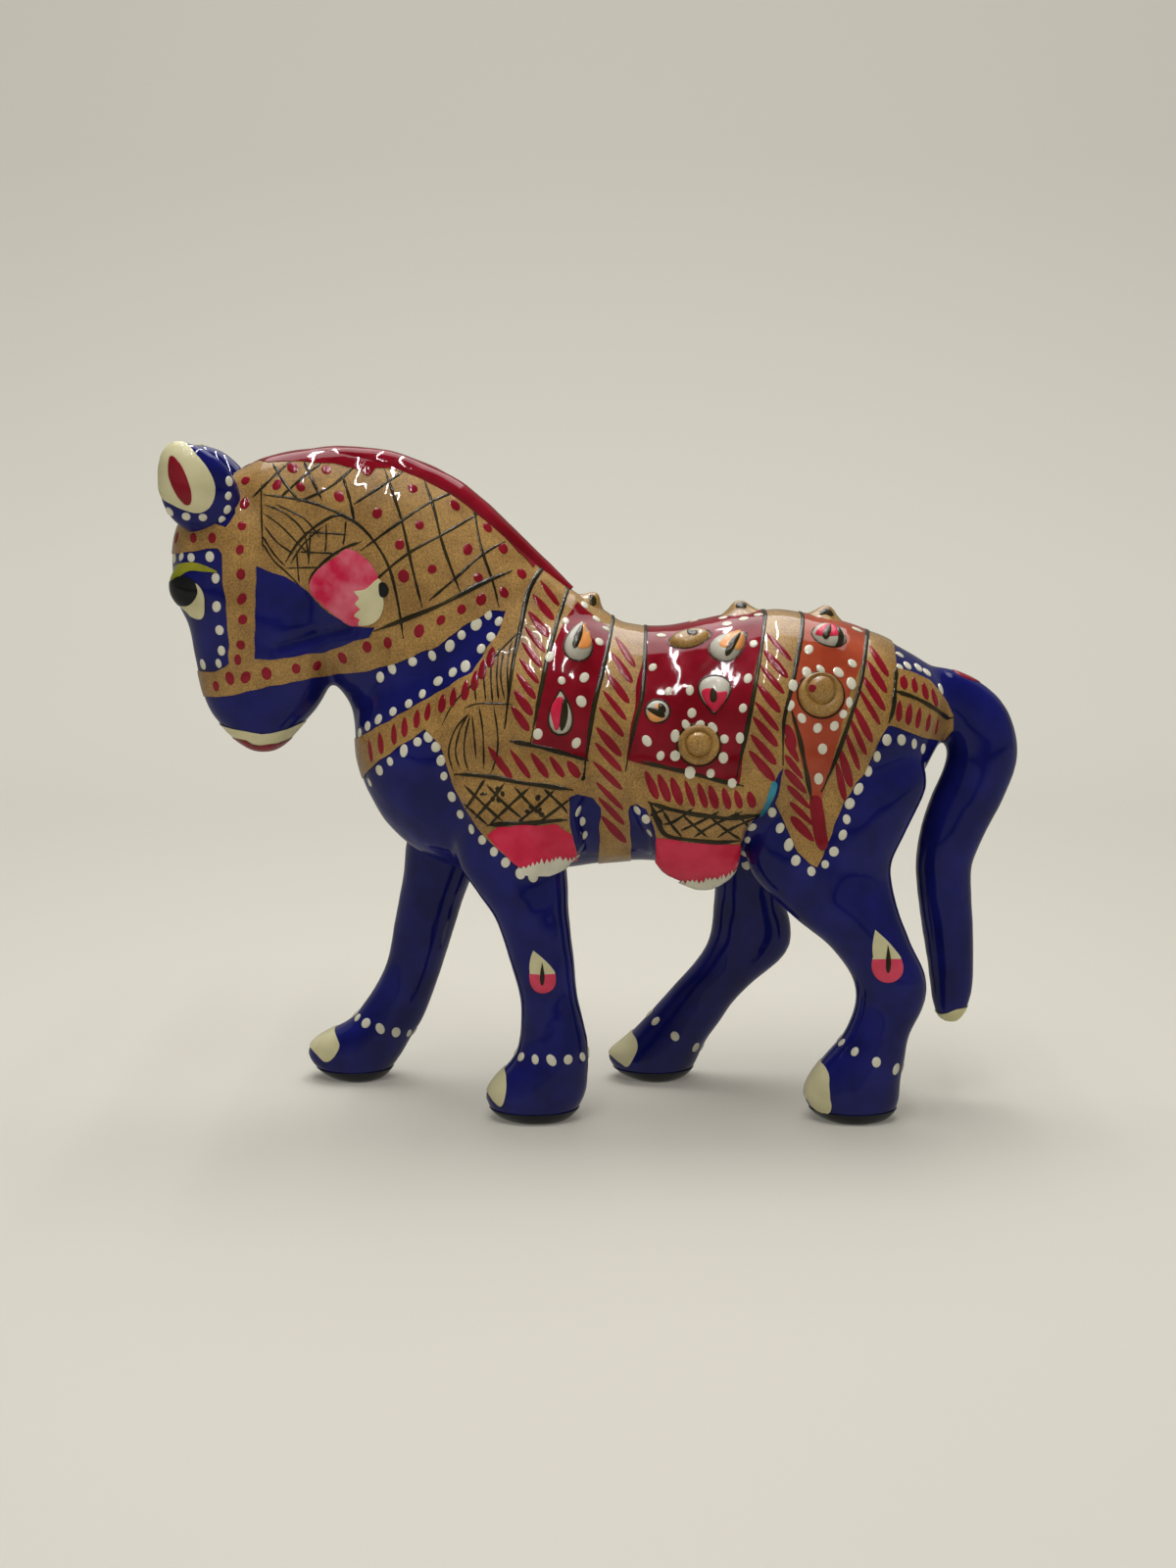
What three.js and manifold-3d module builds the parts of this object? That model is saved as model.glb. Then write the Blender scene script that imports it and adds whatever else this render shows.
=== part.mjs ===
// Enamelled horse figurine: a walking horse in a festive caparison, cast in light metal and hand enamelled.
// Millimetres, +Z up, the horse faces -X, so its left side looks along -Y. It stands on Z = 0.
// Two hollow half shells are soldered along the middle plane. The legs, the tail and the ears are separate
// castings with spigots in the shells. The mane crest, the flaps and the studs are soldered onto the shells.
import * as THREE from "three";
import { mergeVertices } from "three/addons/utils/BufferGeometryUtils.js";
import Module from "manifold-3d";

const wasm = await Module();
wasm.setup();

// Overall sizes. The stations below are drawn for a horse 127 mm long, 35 mm wide and 100 mm high,
// and stretch with these.
const LENGTH = 127;
const WIDTH = 35;
const HEIGHT = 100;
const STRETCH = { x: LENGTH / 127, y: WIDTH / 35, z: HEIGHT / 100 };

// The direction that each number of a drawn row lies along
const DIRECTIONS = {
  x: ["x", "crestX", "throatX", "front", "rear", "long", "width"],
  y: ["half", "out", "wide", "thick", "height"],
  z: ["z", "top", "bottom", "crestZ", "throatZ", "tall", "rise", "length", "radius"],
};
const STRETCH_OF = Object.fromEntries(
  Object.entries(DIRECTIONS).flatMap(([axis, keys]) => keys.map((key) => [key, STRETCH[axis]])),
);

// Drawn rows at the figurine's own size. Words, signs and angles stay as they are.
function drawn(rows) {
  const stretched = ([key, value]) => [key, key in STRETCH_OF ? value * STRETCH_OF[key] : value];
  return rows.map((row) => Object.fromEntries(Object.entries(row).map(stretched)));
}

// Wall and joint sizes
const WALL = 2.2; // thickness of the cast half shells
const SEAM_GAP = 0.1; // solder film between the two half shells
const BED_GAP = 0.3; // solder bed under every piece that seats on the shells
const LEG_JOINT_HEIGHT = 30; // height of the flat soldered joint at the top of each leg
const LEG_SPIGOT_RADIUS = 2.4;
const LEG_SPIGOT_LENGTH = 5;
const TAIL_SPIGOT_RADIUS = 2;
const TAIL_SPIGOT_LENGTH = 8;
const EAR_SPIGOT_RADIUS = 1.2;
const EAR_SPIGOT_LENGTH = 4;
const SOCKET_CLEARANCE = 0.3; // all round each spigot, and at its end
const SPIGOT_ROOT = 1.5; // depth of a spigot's root inside its own casting
const LEAST_CAVITY = 1; // half width below which the castings are solid

// Facet counts
const TRUNK_SIDES = 24;
const CAVITY_SIDES = 16;
const LIMB_SIDES = 16;
const EAR_SIDES = 12;
const STUD_SIDES = 14;
const SPIGOT_SIDES = 16;

// Trunk stations along X: top line, belly line and half width
const TRUNK = drawn([
  { x: -35.0, top: 60.0, bottom: 53.0, half: 3.0 },
  { x: -33.5, top: 63.5, bottom: 48.5, half: 7.0 },
  { x: -30.0, top: 67.5, bottom: 42.5, half: 10.5 },
  { x: -24.0, top: 71.0, bottom: 37.8, half: 13.2 },
  { x: -15.0, top: 74.5, bottom: 35.0, half: 15.0 },
  { x: -5.0, top: 76.0, bottom: 36.0, half: 15.6 },
  { x: 5.0, top: 72.7, bottom: 37.3, half: 15.6 },
  { x: 12.0, top: 72.1, bottom: 37.3, half: 15.6 },
  { x: 20.0, top: 73.6, bottom: 37.0, half: 15.8 },
  { x: 28.0, top: 74.6, bottom: 37.0, half: 16.0 },
  { x: 36.0, top: 73.3, bottom: 38.5, half: 15.6 },
  { x: 43.0, top: 71.1, bottom: 41.5, half: 14.0 },
  { x: 48.5, top: 68.3, bottom: 46.0, half: 11.0 },
  { x: 52.0, top: 66.0, bottom: 50.5, half: 7.2 },
  { x: 54.0, top: 63.0, bottom: 54.5, half: 3.5 },
]);

// Neck sections, each from a point on the crest to a point on the throat line
const NECK = drawn([
  { crestX: 4.0, crestZ: 73.5, throatX: -30.0, throatZ: 46.0, half: 12.5 },
  { crestX: -4.5, crestZ: 79.0, throatX: -34.6, throatZ: 55.0, half: 10.8 },
  { crestX: -12.5, crestZ: 86.6, throatX: -35.4, throatZ: 60.2, half: 9.2 },
  { crestX: -20.0, crestZ: 93.1, throatX: -37.6, throatZ: 63.6, half: 8.2 },
  { crestX: -29.0, crestZ: 97.4, throatX: -42.0, throatZ: 69.0, half: 7.6 },
  { crestX: -38.0, crestZ: 98.7, throatX: -46.0, throatZ: 75.0, half: 7.0 },
  { crestX: -46.5, crestZ: 97.7, throatX: -50.0, throatZ: 81.0, half: 6.4 },
  { crestX: -52.8, crestZ: 95.2, throatX: -55.0, throatZ: 87.5, half: 4.6 },
]);

// Head sections down from the forehead to the lips: face line, jaw line and half width
const HEAD = drawn([
  { z: 93.5, front: -55.0, rear: -46.0, half: 4.5 },
  { z: 90.0, front: -58.6, rear: -43.0, half: 6.6 },
  { z: 85.5, front: -60.6, rear: -40.0, half: 7.8 },
  { z: 80.0, front: -61.0, rear: -38.0, half: 8.2 },
  { z: 75.0, front: -60.2, rear: -36.8, half: 8.0 },
  { z: 70.0, front: -58.9, rear: -36.8, half: 7.4 },
  { z: 65.0, front: -57.8, rear: -38.6, half: 6.7 },
  { z: 60.5, front: -56.8, rear: -41.0, half: 6.2 },
  { z: 57.5, front: -55.0, rear: -43.7, half: 5.6 },
  { z: 55.0, front: -52.2, rear: -46.0, half: 4.0 },
  { z: 53.9, front: -50.2, rear: -47.8, half: 2.0 },
]);

// Eye bulge: its middle and its half sizes
const [EYE] = drawn([{ x: -57.8, out: 4.5, z: 78.8, long: 4.3, wide: 3.1, tall: 3.6 }]);

// Leg sections, level slices from the haunch or shoulder down to the sole: front edge, rear edge,
// distance of the slice's middle from the middle plane, and half width
const LEGS = [
  {
    name: "front_left_leg",
    side: -1,
    slices: drawn([
      { z: 54.0, front: -18.5, rear: -6.0, out: 8.6, half: 4.8 },
      { z: 46.0, front: -19.5, rear: -4.5, out: 9.6, half: 5.6 },
      { z: 38.6, front: -19.0, rear: -3.6, out: 10.0, half: 5.6 },
      { z: 35.0, front: -17.0, rear: -3.2, out: 10.3, half: 5.4 },
      { z: 30.0, front: -13.5, rear: -3.0, out: 10.8, half: 4.9 },
      { z: 24.0, front: -11.5, rear: -2.3, out: 11.2, half: 4.3 },
      { z: 18.5, front: -9.9, rear: -1.8, out: 11.6, half: 3.9 },
      { z: 13.0, front: -9.8, rear: -0.5, out: 11.8, half: 4.1 },
      { z: 9.4, front: -10.7, rear: -0.1, out: 12.0, half: 4.5 },
      { z: 6.4, front: -13.4, rear: -0.3, out: 12.0, half: 5.0 },
      { z: 3.8, front: -15.0, rear: -0.6, out: 12.0, half: 5.2 },
      { z: 1.6, front: -14.9, rear: -1.2, out: 12.0, half: 5.1 },
      { z: 0.0, front: -13.6, rear: -2.2, out: 12.0, half: 4.4 },
    ]),
  },
  {
    name: "front_right_leg",
    side: 1,
    slices: drawn([
      { z: 54.0, front: -23.0, rear: -8.0, out: 8.2, half: 4.6 },
      { z: 46.0, front: -26.0, rear: -10.0, out: 9.2, half: 5.4 },
      { z: 38.6, front: -28.2, rear: -15.0, out: 10.0, half: 5.6 },
      { z: 34.6, front: -28.6, rear: -17.5, out: 10.3, half: 5.2 },
      { z: 30.0, front: -29.4, rear: -19.6, out: 10.8, half: 4.8 },
      { z: 24.0, front: -30.6, rear: -21.5, out: 11.2, half: 4.3 },
      { z: 19.0, front: -31.6, rear: -23.1, out: 11.6, half: 4.0 },
      { z: 14.0, front: -34.0, rear: -24.8, out: 11.8, half: 4.1 },
      { z: 9.4, front: -37.6, rear: -26.6, out: 12.0, half: 4.5 },
      { z: 6.2, front: -41.1, rear: -28.0, out: 12.0, half: 5.0 },
      { z: 3.8, front: -44.0, rear: -29.2, out: 12.0, half: 5.2 },
      { z: 1.6, front: -43.8, rear: -30.4, out: 12.0, half: 5.1 },
      { z: 0.0, front: -42.2, rear: -31.6, out: 12.0, half: 4.4 },
    ]),
  },
  {
    name: "hind_left_leg",
    side: -1,
    slices: drawn([
      { z: 56.0, front: 26.0, rear: 45.0, out: 8.4, half: 4.8 },
      { z: 50.0, front: 24.6, rear: 46.6, out: 9.2, half: 5.8 },
      { z: 44.0, front: 24.2, rear: 46.4, out: 9.6, half: 6.2 },
      { z: 38.6, front: 23.8, rear: 44.8, out: 9.8, half: 6.0 },
      { z: 35.0, front: 25.6, rear: 44.7, out: 10.1, half: 5.7 },
      { z: 30.0, front: 30.9, rear: 46.1, out: 10.8, half: 5.2 },
      { z: 26.0, front: 35.8, rear: 47.7, out: 11.2, half: 4.7 },
      { z: 21.1, front: 39.5, rear: 49.9, out: 11.6, half: 4.4 },
      { z: 16.8, front: 39.8, rear: 49.4, out: 11.8, half: 4.1 },
      { z: 12.5, front: 38.0, rear: 47.3, out: 12.0, half: 4.2 },
      { z: 9.4, front: 35.4, rear: 46.9, out: 12.0, half: 4.6 },
      { z: 6.4, front: 32.8, rear: 46.3, out: 12.0, half: 5.0 },
      { z: 3.6, front: 31.7, rear: 46.0, out: 12.0, half: 5.2 },
      { z: 1.5, front: 32.4, rear: 45.8, out: 12.0, half: 5.1 },
      { z: 0.0, front: 33.8, rear: 45.0, out: 12.0, half: 4.4 },
    ]),
  },
  {
    name: "hind_right_leg",
    side: 1,
    slices: drawn([
      { z: 56.0, front: 25.0, rear: 45.0, out: 8.4, half: 4.8 },
      { z: 50.0, front: 23.2, rear: 45.6, out: 9.2, half: 5.8 },
      { z: 44.0, front: 22.0, rear: 43.5, out: 9.6, half: 6.2 },
      { z: 38.0, front: 20.5, rear: 37.0, out: 9.8, half: 6.0 },
      { z: 34.0, front: 20.2, rear: 32.6, out: 10.3, half: 5.6 },
      { z: 30.0, front: 20.2, rear: 30.6, out: 10.8, half: 5.0 },
      { z: 25.2, front: 19.9, rear: 31.8, out: 11.2, half: 4.7 },
      { z: 22.0, front: 19.2, rear: 31.9, out: 11.4, half: 4.5 },
      { z: 18.9, front: 17.5, rear: 30.0, out: 11.6, half: 4.3 },
      { z: 15.7, front: 14.7, rear: 26.2, out: 11.8, half: 4.2 },
      { z: 12.5, front: 12.0, rear: 23.1, out: 12.0, half: 4.2 },
      { z: 9.4, front: 9.2, rear: 21.0, out: 12.0, half: 4.5 },
      { z: 6.2, front: 6.2, rear: 18.7, out: 12.0, half: 5.0 },
      { z: 3.8, front: 3.4, rear: 17.6, out: 12.0, half: 5.2 },
      { z: 1.6, front: 3.5, rear: 16.8, out: 12.0, half: 5.1 },
      { z: 0.0, front: 5.0, rear: 15.8, out: 12.0, half: 4.4 },
    ]),
  },
];

// Tail centre line, from its root in the rump over the bend and down to the tip
const TAIL = drawn([
  { x: 48.5, z: 61.8, radius: 4.4 },
  { x: 52.5, z: 61.4, radius: 4.8 },
  { x: 56.0, z: 59.8, radius: 5.2 },
  { x: 58.4, z: 57.2, radius: 5.4 },
  { x: 59.2, z: 53.4, radius: 5.6 },
  { x: 58.0, z: 49.2, radius: 5.5 },
  { x: 56.3, z: 45.0, radius: 5.2 },
  { x: 54.9, z: 40.5, radius: 4.6 },
  { x: 54.2, z: 36.0, radius: 4.0 },
  { x: 54.6, z: 30.5, radius: 3.8 },
  { x: 55.3, z: 24.5, radius: 3.5 },
  { x: 55.8, z: 18.5, radius: 3.1 },
  { x: 55.7, z: 15.0, radius: 2.6 },
  { x: 55.4, z: 12.6, radius: 1.6 },
  { x: 55.2, z: 11.8, radius: 0.5 },
]);
const TAIL_FLATNESS = 0.9; // side to side thickness as a share of the thickness seen from the side

// Ear centre line from its root in the head to the tip, with its half width and half thickness
const EAR = drawn([
  { x: -54.6, out: 4.4, z: 85.5, half: 3.4, thick: 2.6 },
  { x: -56.2, out: 6.2, z: 90.5, half: 5.0, thick: 3.2 },
  { x: -57.3, out: 7.4, z: 94.5, half: 5.0, thick: 3.0 },
  { x: -58.3, out: 8.2, z: 98.0, half: 2.6, thick: 1.7 },
  { x: -58.6, out: 8.4, z: 99.1, half: 0.7, thick: 0.5 },
]);

// Mane crest along the top of the neck, with its half width and half height
const MANE = drawn([
  { x: -51.0, z: 95.4, half: 1.4, rise: 1.2 },
  { x: -46.5, z: 96.8, half: 2.6, rise: 1.8 },
  { x: -38.0, z: 97.5, half: 3.2, rise: 2.1 },
  { x: -29.0, z: 96.3, half: 3.2, rise: 2.1 },
  { x: -20.0, z: 92.2, half: 3.0, rise: 1.9 },
  { x: -12.5, z: 86.0, half: 2.6, rise: 1.6 },
  { x: -6.0, z: 80.0, half: 1.8, rise: 1.3 },
  { x: -3.0, z: 77.5, half: 1.0, rise: 1.0 },
]);

// Hanging flaps of the caparison: outline seen from the side, and how far they stand off the shell
const FLAP_THICKNESS = 1.8;
const FLAP_HANG = 5; // how far a flap's back hangs below the belly line
const FLAP_INNER = 8; // distance of a flap's inner edge from the middle plane
const FLAPS = [
  {
    name: "shoulder_flap",
    outline: drawn([
      { x: -17.4, z: 54.2 },
      { x: -18.7, z: 50.6 },
      { x: -18.0, z: 47.5 },
      { x: -16.3, z: 44.3 },
      { x: -13.0, z: 39.8 },
      { x: -8.5, z: 37.4 },
      { x: -3.5, z: 38.1 },
      { x: -0.8, z: 41.3 },
      { x: -1.7, z: 46.1 },
      { x: -0.3, z: 54.2 },
    ]),
  },
  {
    name: "saddle_flap",
    outline: drawn([
      { x: 6.7, z: 50.6 },
      { x: 7.6, z: 46.0 },
      { x: 9.6, z: 43.5 },
      { x: 10.2, z: 39.3 },
      { x: 12.7, z: 36.4 },
      { x: 16.9, z: 35.0 },
      { x: 20.5, z: 35.7 },
      { x: 22.3, z: 38.6 },
      { x: 22.8, z: 43.5 },
      { x: 25.6, z: 47.8 },
      { x: 26.6, z: 51.3 },
    ]),
  },
];

// Studs on each side: shape, place seen from the side, length, width, height and turn of the point
const SIDE_STUDS = drawn([
  { name: "collar_leaf", shape: "leaf", x: -1.4, z: 69.8, length: 6.0, width: 3.9, height: 1.5, turn: -10 },
  { name: "collar_petal", shape: "leaf", x: -3.9, z: 60.7, length: 7.0, width: 3.8, height: 1.3, turn: 0 },
  { name: "saddle_oval", shape: "leaf", x: 15.2, z: 69.6, length: 6.4, width: 4.4, height: 1.4, turn: 60 },
  { name: "saddle_leaf", shape: "leaf", x: 20.6, z: 68.6, length: 6.4, width: 4.6, height: 1.5, turn: -35 },
  { name: "saddle_eye", shape: "leaf", x: 10.2, z: 61.5, length: 4.4, width: 3.6, height: 1.1, turn: 90 },
  { name: "saddle_petal", shape: "leaf", x: 18.4, z: 63.3, length: 5.6, width: 4.8, height: 1.2, turn: 180 },
  { name: "saddle_round", shape: "boss", x: 15.8, z: 56.0, length: 6.4, width: 6.4, height: 1.9, turn: 0 },
  { name: "croup_drop", shape: "leaf", x: 34.6, z: 69.8, length: 5.8, width: 5.0, height: 1.5, turn: 0 },
  { name: "croup_round", shape: "boss", x: 33.6, z: 63.4, length: 7.0, width: 7.0, height: 2.0, turn: 0 },
]);

// Pointed studs along the middle of the back
const BACK_STUD_RADIUS = 3.4;
const BACK_STUD_HEIGHT = 2.2;
const BACK_STUDS = drawn([
  { name: "withers_back_stud", x: 0.2 },
  { name: "saddle_back_stud", x: 22.9 },
  { name: "croup_back_stud", x: 35.6 },
]);
const STUD_ROOT = 1.4; // how far a stud's raw casting reaches under its seat before the bed is cut

const SIDES = { left: -1, right: 1 };
const FAR = 200; // larger than the figurine, for cutting blocks and rays

// Enamel and metal finishes
const enamel = (color) => new THREE.MeshStandardMaterial({ color, roughness: 0.18, metalness: 0 });
const COBALT = enamel(0x1a1a66);
const CRIMSON = enamel(0x8e1230);
const PINK = enamel(0xc4284e);
const GOLD = new THREE.MeshStandardMaterial({ color: 0xa98a54, roughness: 0.32, metalness: 0.35 });

// Joins and cuts
function solidOf(geometry) {
  const bare = geometry.clone();
  bare.deleteAttribute("normal");
  bare.deleteAttribute("uv");
  const merged = mergeVertices(bare, 1e-4);
  return new wasm.Manifold(
    new wasm.Mesh({
      numProp: 3,
      vertProperties: merged.attributes.position.array,
      triVerts: new Uint32Array(merged.index.array),
    }),
  );
}

function geometryOf(solid) {
  const mesh = solid.getMesh();
  const geometry = new THREE.BufferGeometry();
  geometry.setAttribute("position", new THREE.BufferAttribute(mesh.vertProperties, 3));
  geometry.setIndex(new THREE.BufferAttribute(mesh.triVerts, 1));
  geometry.computeVertexNormals();
  return geometry;
}

// A closed surface through rings of points, each end closed by a fan round its middle, facing out.
function loft(rings) {
  const sides = rings[0].length;
  const points = rings.flat();
  const middle = (ring) => ring.reduce((sum, p) => sum.add(p), new THREE.Vector3()).divideScalar(sides);
  points.push(middle(rings[0]), middle(rings[rings.length - 1]));
  const index = [];
  const first = points.length - 2;
  const last = points.length - 1;
  for (let i = 0; i < sides; i++) {
    const next = (i + 1) % sides;
    for (let r = 0; r < rings.length - 1; r++) {
      const a = r * sides + i;
      const b = r * sides + next;
      index.push(a, b, b + sides, a, b + sides, a + sides);
    }
    const end = (rings.length - 1) * sides;
    index.push(first, next, i, last, end + i, end + next);
  }
  const geometry = new THREE.BufferGeometry().setFromPoints(points);
  const volume = index.reduce((sum, _, i) => {
    if (i % 3) return sum;
    const [a, b, c] = [points[index[i]], points[index[i + 1]], points[index[i + 2]]];
    return sum + a.dot(b.clone().cross(c));
  }, 0);
  if (volume < 0) index.reverse();
  return geometry.setIndex(index);
}

// An ellipse of points about a centre, from one half axis to the other.
function ellipse(centre, axisA, axisB, sides) {
  return Array.from({ length: sides }, (_, i) => {
    const t = (2 * Math.PI * i) / sides;
    return centre.clone().addScaledVector(axisA, Math.cos(t)).addScaledVector(axisB, Math.sin(t));
  });
}

// Stations filled in smoothly: every number of a row runs along a Catmull-Rom curve through the rows.
function smooth(rows, steps = 2) {
  const keys = Object.keys(rows[0]);
  const row = (i) => rows[Math.min(Math.max(i, 0), rows.length - 1)];
  const blend = (a, b, c, d, t) =>
    b + 0.5 * t * (c - a + t * (2 * a - 5 * b + 4 * c - d + t * (3 * (b - c) + d - a)));
  const filled = [];
  for (let i = 0; i < rows.length - 1; i++)
    for (let s = 0; s < steps; s++) {
      const t = s / steps;
      const value = (k) => blend(row(i - 1)[k], row(i)[k], row(i + 1)[k], row(i + 2)[k], t);
      filled.push(Object.fromEntries(keys.map((k) => [k, value(k)])));
    }
  return [...filled, rows[rows.length - 1]];
}

const unite = (solids) => solids.reduce((all, one) => all.add(one));
const across = new THREE.Vector3(0, 1, 0);

function block(x0, x1, y0, y1, z0, z1) {
  const box = new THREE.BoxGeometry(x1 - x0, y1 - y0, z1 - z0);
  return solidOf(box.translate((x0 + x1) / 2, (y0 + y1) / 2, (z0 + z1) / 2));
}

// A round bar from one point to another.
function bar(from, to, radius) {
  const along = to.clone().sub(from);
  const rod = new THREE.CylinderGeometry(radius, radius, along.length(), SPIGOT_SIDES);
  const turn = new THREE.Quaternion().setFromUnitVectors(across, along.clone().normalize());
  rod.applyQuaternion(turn);
  const middle = from.clone().addScaledVector(along, 0.5);
  return solidOf(rod.translate(middle.x, middle.y, middle.z));
}

// The forms of the horse, each grown outwards by a distance, or shrunk inwards by a negative one.
// The cavity has fewer facets, and stops short where the horse is slimmer than two walls.
const sidesFor = (grow) => (grow < 0 ? CAVITY_SIDES : TRUNK_SIDES);

function rowsFor(stations, grow) {
  return grow < 0 ? stations.filter((r) => r.half + grow > LEAST_CAVITY) : smooth(stations);
}

function trunk(grow) {
  const rows = rowsFor(TRUNK, grow);
  const rings = rows.map((r, i) => {
    const reach = i === 0 ? -grow : i === rows.length - 1 ? grow : 0;
    const centre = new THREE.Vector3(r.x + reach, 0, (r.top + r.bottom) / 2);
    const height = new THREE.Vector3(0, 0, (r.top - r.bottom) / 2 + grow);
    return ellipse(centre, height, new THREE.Vector3(0, r.half + grow, 0), sidesFor(grow));
  });
  return solidOf(loft(rings));
}

function neck(grow) {
  const rings = rowsFor(NECK, grow).map((r) => {
    const crest = new THREE.Vector3(r.crestX, 0, r.crestZ);
    const throat = new THREE.Vector3(r.throatX, 0, r.throatZ);
    const span = crest.clone().sub(throat);
    const height = span.clone().setLength(span.length() / 2 + grow);
    const centre = crest.add(throat).divideScalar(2);
    return ellipse(centre, height, new THREE.Vector3(0, r.half + grow, 0), sidesFor(grow));
  });
  return solidOf(loft(rings));
}

function head(grow) {
  const rows = rowsFor(HEAD, grow);
  const rings = rows.map((r, i) => {
    const reach = i === rows.length - 1 ? -grow : 0;
    const centre = new THREE.Vector3((r.front + r.rear) / 2, 0, r.z + reach);
    const length = new THREE.Vector3((r.rear - r.front) / 2 + grow, 0, 0);
    return ellipse(centre, length, new THREE.Vector3(0, r.half + grow, 0), sidesFor(grow));
  });
  return solidOf(loft(rings));
}

function eyeBulge(side, grow) {
  const ball = new THREE.SphereGeometry(1, LIMB_SIDES, LIMB_SIDES / 2);
  ball.scale(EYE.long + grow, EYE.wide + grow, EYE.tall + grow);
  return solidOf(ball.translate(EYE.x, side * EYE.out, EYE.z));
}

function limb({ side, slices }, grow) {
  const rings = smooth(slices).map((r) => {
    const centre = new THREE.Vector3((r.front + r.rear) / 2, side * r.out, r.z);
    const length = new THREE.Vector3((r.rear - r.front) / 2 + grow, 0, 0);
    return ellipse(centre, length, new THREE.Vector3(0, r.half + grow, 0), LIMB_SIDES);
  });
  return solidOf(loft(rings));
}

const belowJoints = block(-FAR, FAR, -FAR, FAR, -FAR, LEG_JOINT_HEIGHT - BED_GAP);
const aboveJoints = block(-FAR, FAR, -FAR, FAR, LEG_JOINT_HEIGHT, FAR);

// The whole outside of the body above the leg joints.
function bodyForm(grow) {
  const stumps = LEGS.map((leg) => limb(leg, grow).intersect(aboveJoints));
  const eyes = Object.values(SIDES).map((side) => eyeBulge(side, grow));
  return unite([trunk(grow), neck(grow), head(grow), ...eyes, ...stumps]);
}

const outside = bodyForm(0);
const bed = bodyForm(BED_GAP);
const cavity = unite([trunk(-WALL), neck(-WALL), head(-WALL)]);

// Legs: a spigot stands on the flat joint and enters the stump of its half shell
function sliceAt(slices, height) {
  const below = slices.findIndex((r) => r.z <= height);
  const [upper, lower] = [slices[below - 1], slices[below]];
  const share = (upper.z - height) / (upper.z - lower.z);
  const keys = Object.keys(upper);
  return Object.fromEntries(keys.map((k) => [k, upper[k] + share * (lower[k] - upper[k])]));
}

function legSpigot({ side, slices }, clearance) {
  const seat = sliceAt(slices, LEG_JOINT_HEIGHT);
  const x = (seat.front + seat.rear) / 2;
  const y = side * seat.out;
  const foot = new THREE.Vector3(x, y, LEG_JOINT_HEIGHT - BED_GAP - SPIGOT_ROOT);
  const tip = new THREE.Vector3(x, y, LEG_JOINT_HEIGHT + LEG_SPIGOT_LENGTH + clearance);
  return bar(foot, tip, LEG_SPIGOT_RADIUS + clearance);
}

const legSolid = (leg) => limb(leg, 0).intersect(belowJoints).add(legSpigot(leg, 0));

// Tail: the casting is fitted to the rump, and its spigot crosses the wall on the middle plane
function tailForm() {
  const rows = smooth(TAIL);
  const rings = rows.map((r, i) => {
    const before = rows[Math.max(i - 1, 0)];
    const after = rows[Math.min(i + 1, rows.length - 1)];
    const along = new THREE.Vector3(after.x - before.x, 0, after.z - before.z).normalize();
    const outward = along.clone().cross(across).multiplyScalar(r.radius);
    const sideways = across.clone().multiplyScalar(r.radius * TAIL_FLATNESS);
    return ellipse(new THREE.Vector3(r.x, 0, r.z), outward, sideways, LIMB_SIDES);
  });
  return solidOf(loft(rings));
}

function tailSpigot(clearance) {
  const root = new THREE.Vector3(TAIL[1].x, 0, TAIL[1].z);
  const bend = new THREE.Vector3(TAIL[2].x, 0, TAIL[2].z);
  const along = bend.clone().sub(root).normalize();
  const tip = bend.clone().addScaledVector(along, -TAIL_SPIGOT_LENGTH - SPIGOT_ROOT - clearance);
  return bar(bend.clone().addScaledVector(along, SPIGOT_ROOT), tip, TAIL_SPIGOT_RADIUS + clearance);
}

// The piece of a cut casting that holds most of its metal.
const largest = (solid) => solid.decompose().reduce((a, b) => (b.volume() > a.volume() ? b : a));

const tailSolid = largest(tailForm().subtract(bed)).add(tailSpigot(0));

// Ears: each is fitted to the head, and its spigot enters the half shell
const earPoint = (row, side) => new THREE.Vector3(row.x, side * row.out, row.z);

function earForm(side) {
  const rows = smooth(EAR, 3);
  const rings = rows.map((r, i) => {
    const before = earPoint(rows[Math.max(i - 1, 0)], side);
    const after = earPoint(rows[Math.min(i + 1, rows.length - 1)], side);
    const along = after.sub(before).normalize();
    const wide = across.clone().cross(along).setLength(r.half);
    const deep = along.clone().cross(wide).setLength(r.thick);
    return ellipse(earPoint(r, side), wide, deep, EAR_SIDES);
  });
  return solidOf(loft(rings));
}

function earSpigot(side, clearance) {
  const root = earPoint(EAR[0], side);
  const middle = earPoint(EAR[1], side);
  const along = middle.clone().sub(root).normalize();
  const tip = middle.clone().addScaledVector(along, -EAR_SPIGOT_LENGTH - SPIGOT_ROOT - clearance);
  return bar(middle, tip, EAR_SPIGOT_RADIUS + clearance);
}

const earSolid = (side) => largest(earForm(side).subtract(bed)).add(earSpigot(side, 0));

// Half shells: the outside less the cavity and every socket, on one side of the seam
const sockets = unite([
  ...LEGS.map((leg) => legSpigot(leg, SOCKET_CLEARANCE)),
  ...Object.values(SIDES).map((side) => earSpigot(side, SOCKET_CLEARANCE)),
  tailSpigot(SOCKET_CLEARANCE),
]);
const shell = outside.subtract(cavity).subtract(sockets);

function halfShell(side) {
  const near = SEAM_GAP / 2;
  const half = side < 0 ? block(-FAR, FAR, -FAR, -near, -FAR, FAR) : block(-FAR, FAR, near, FAR, -FAR, FAR);
  return largest(shell.intersect(half));
}

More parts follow.
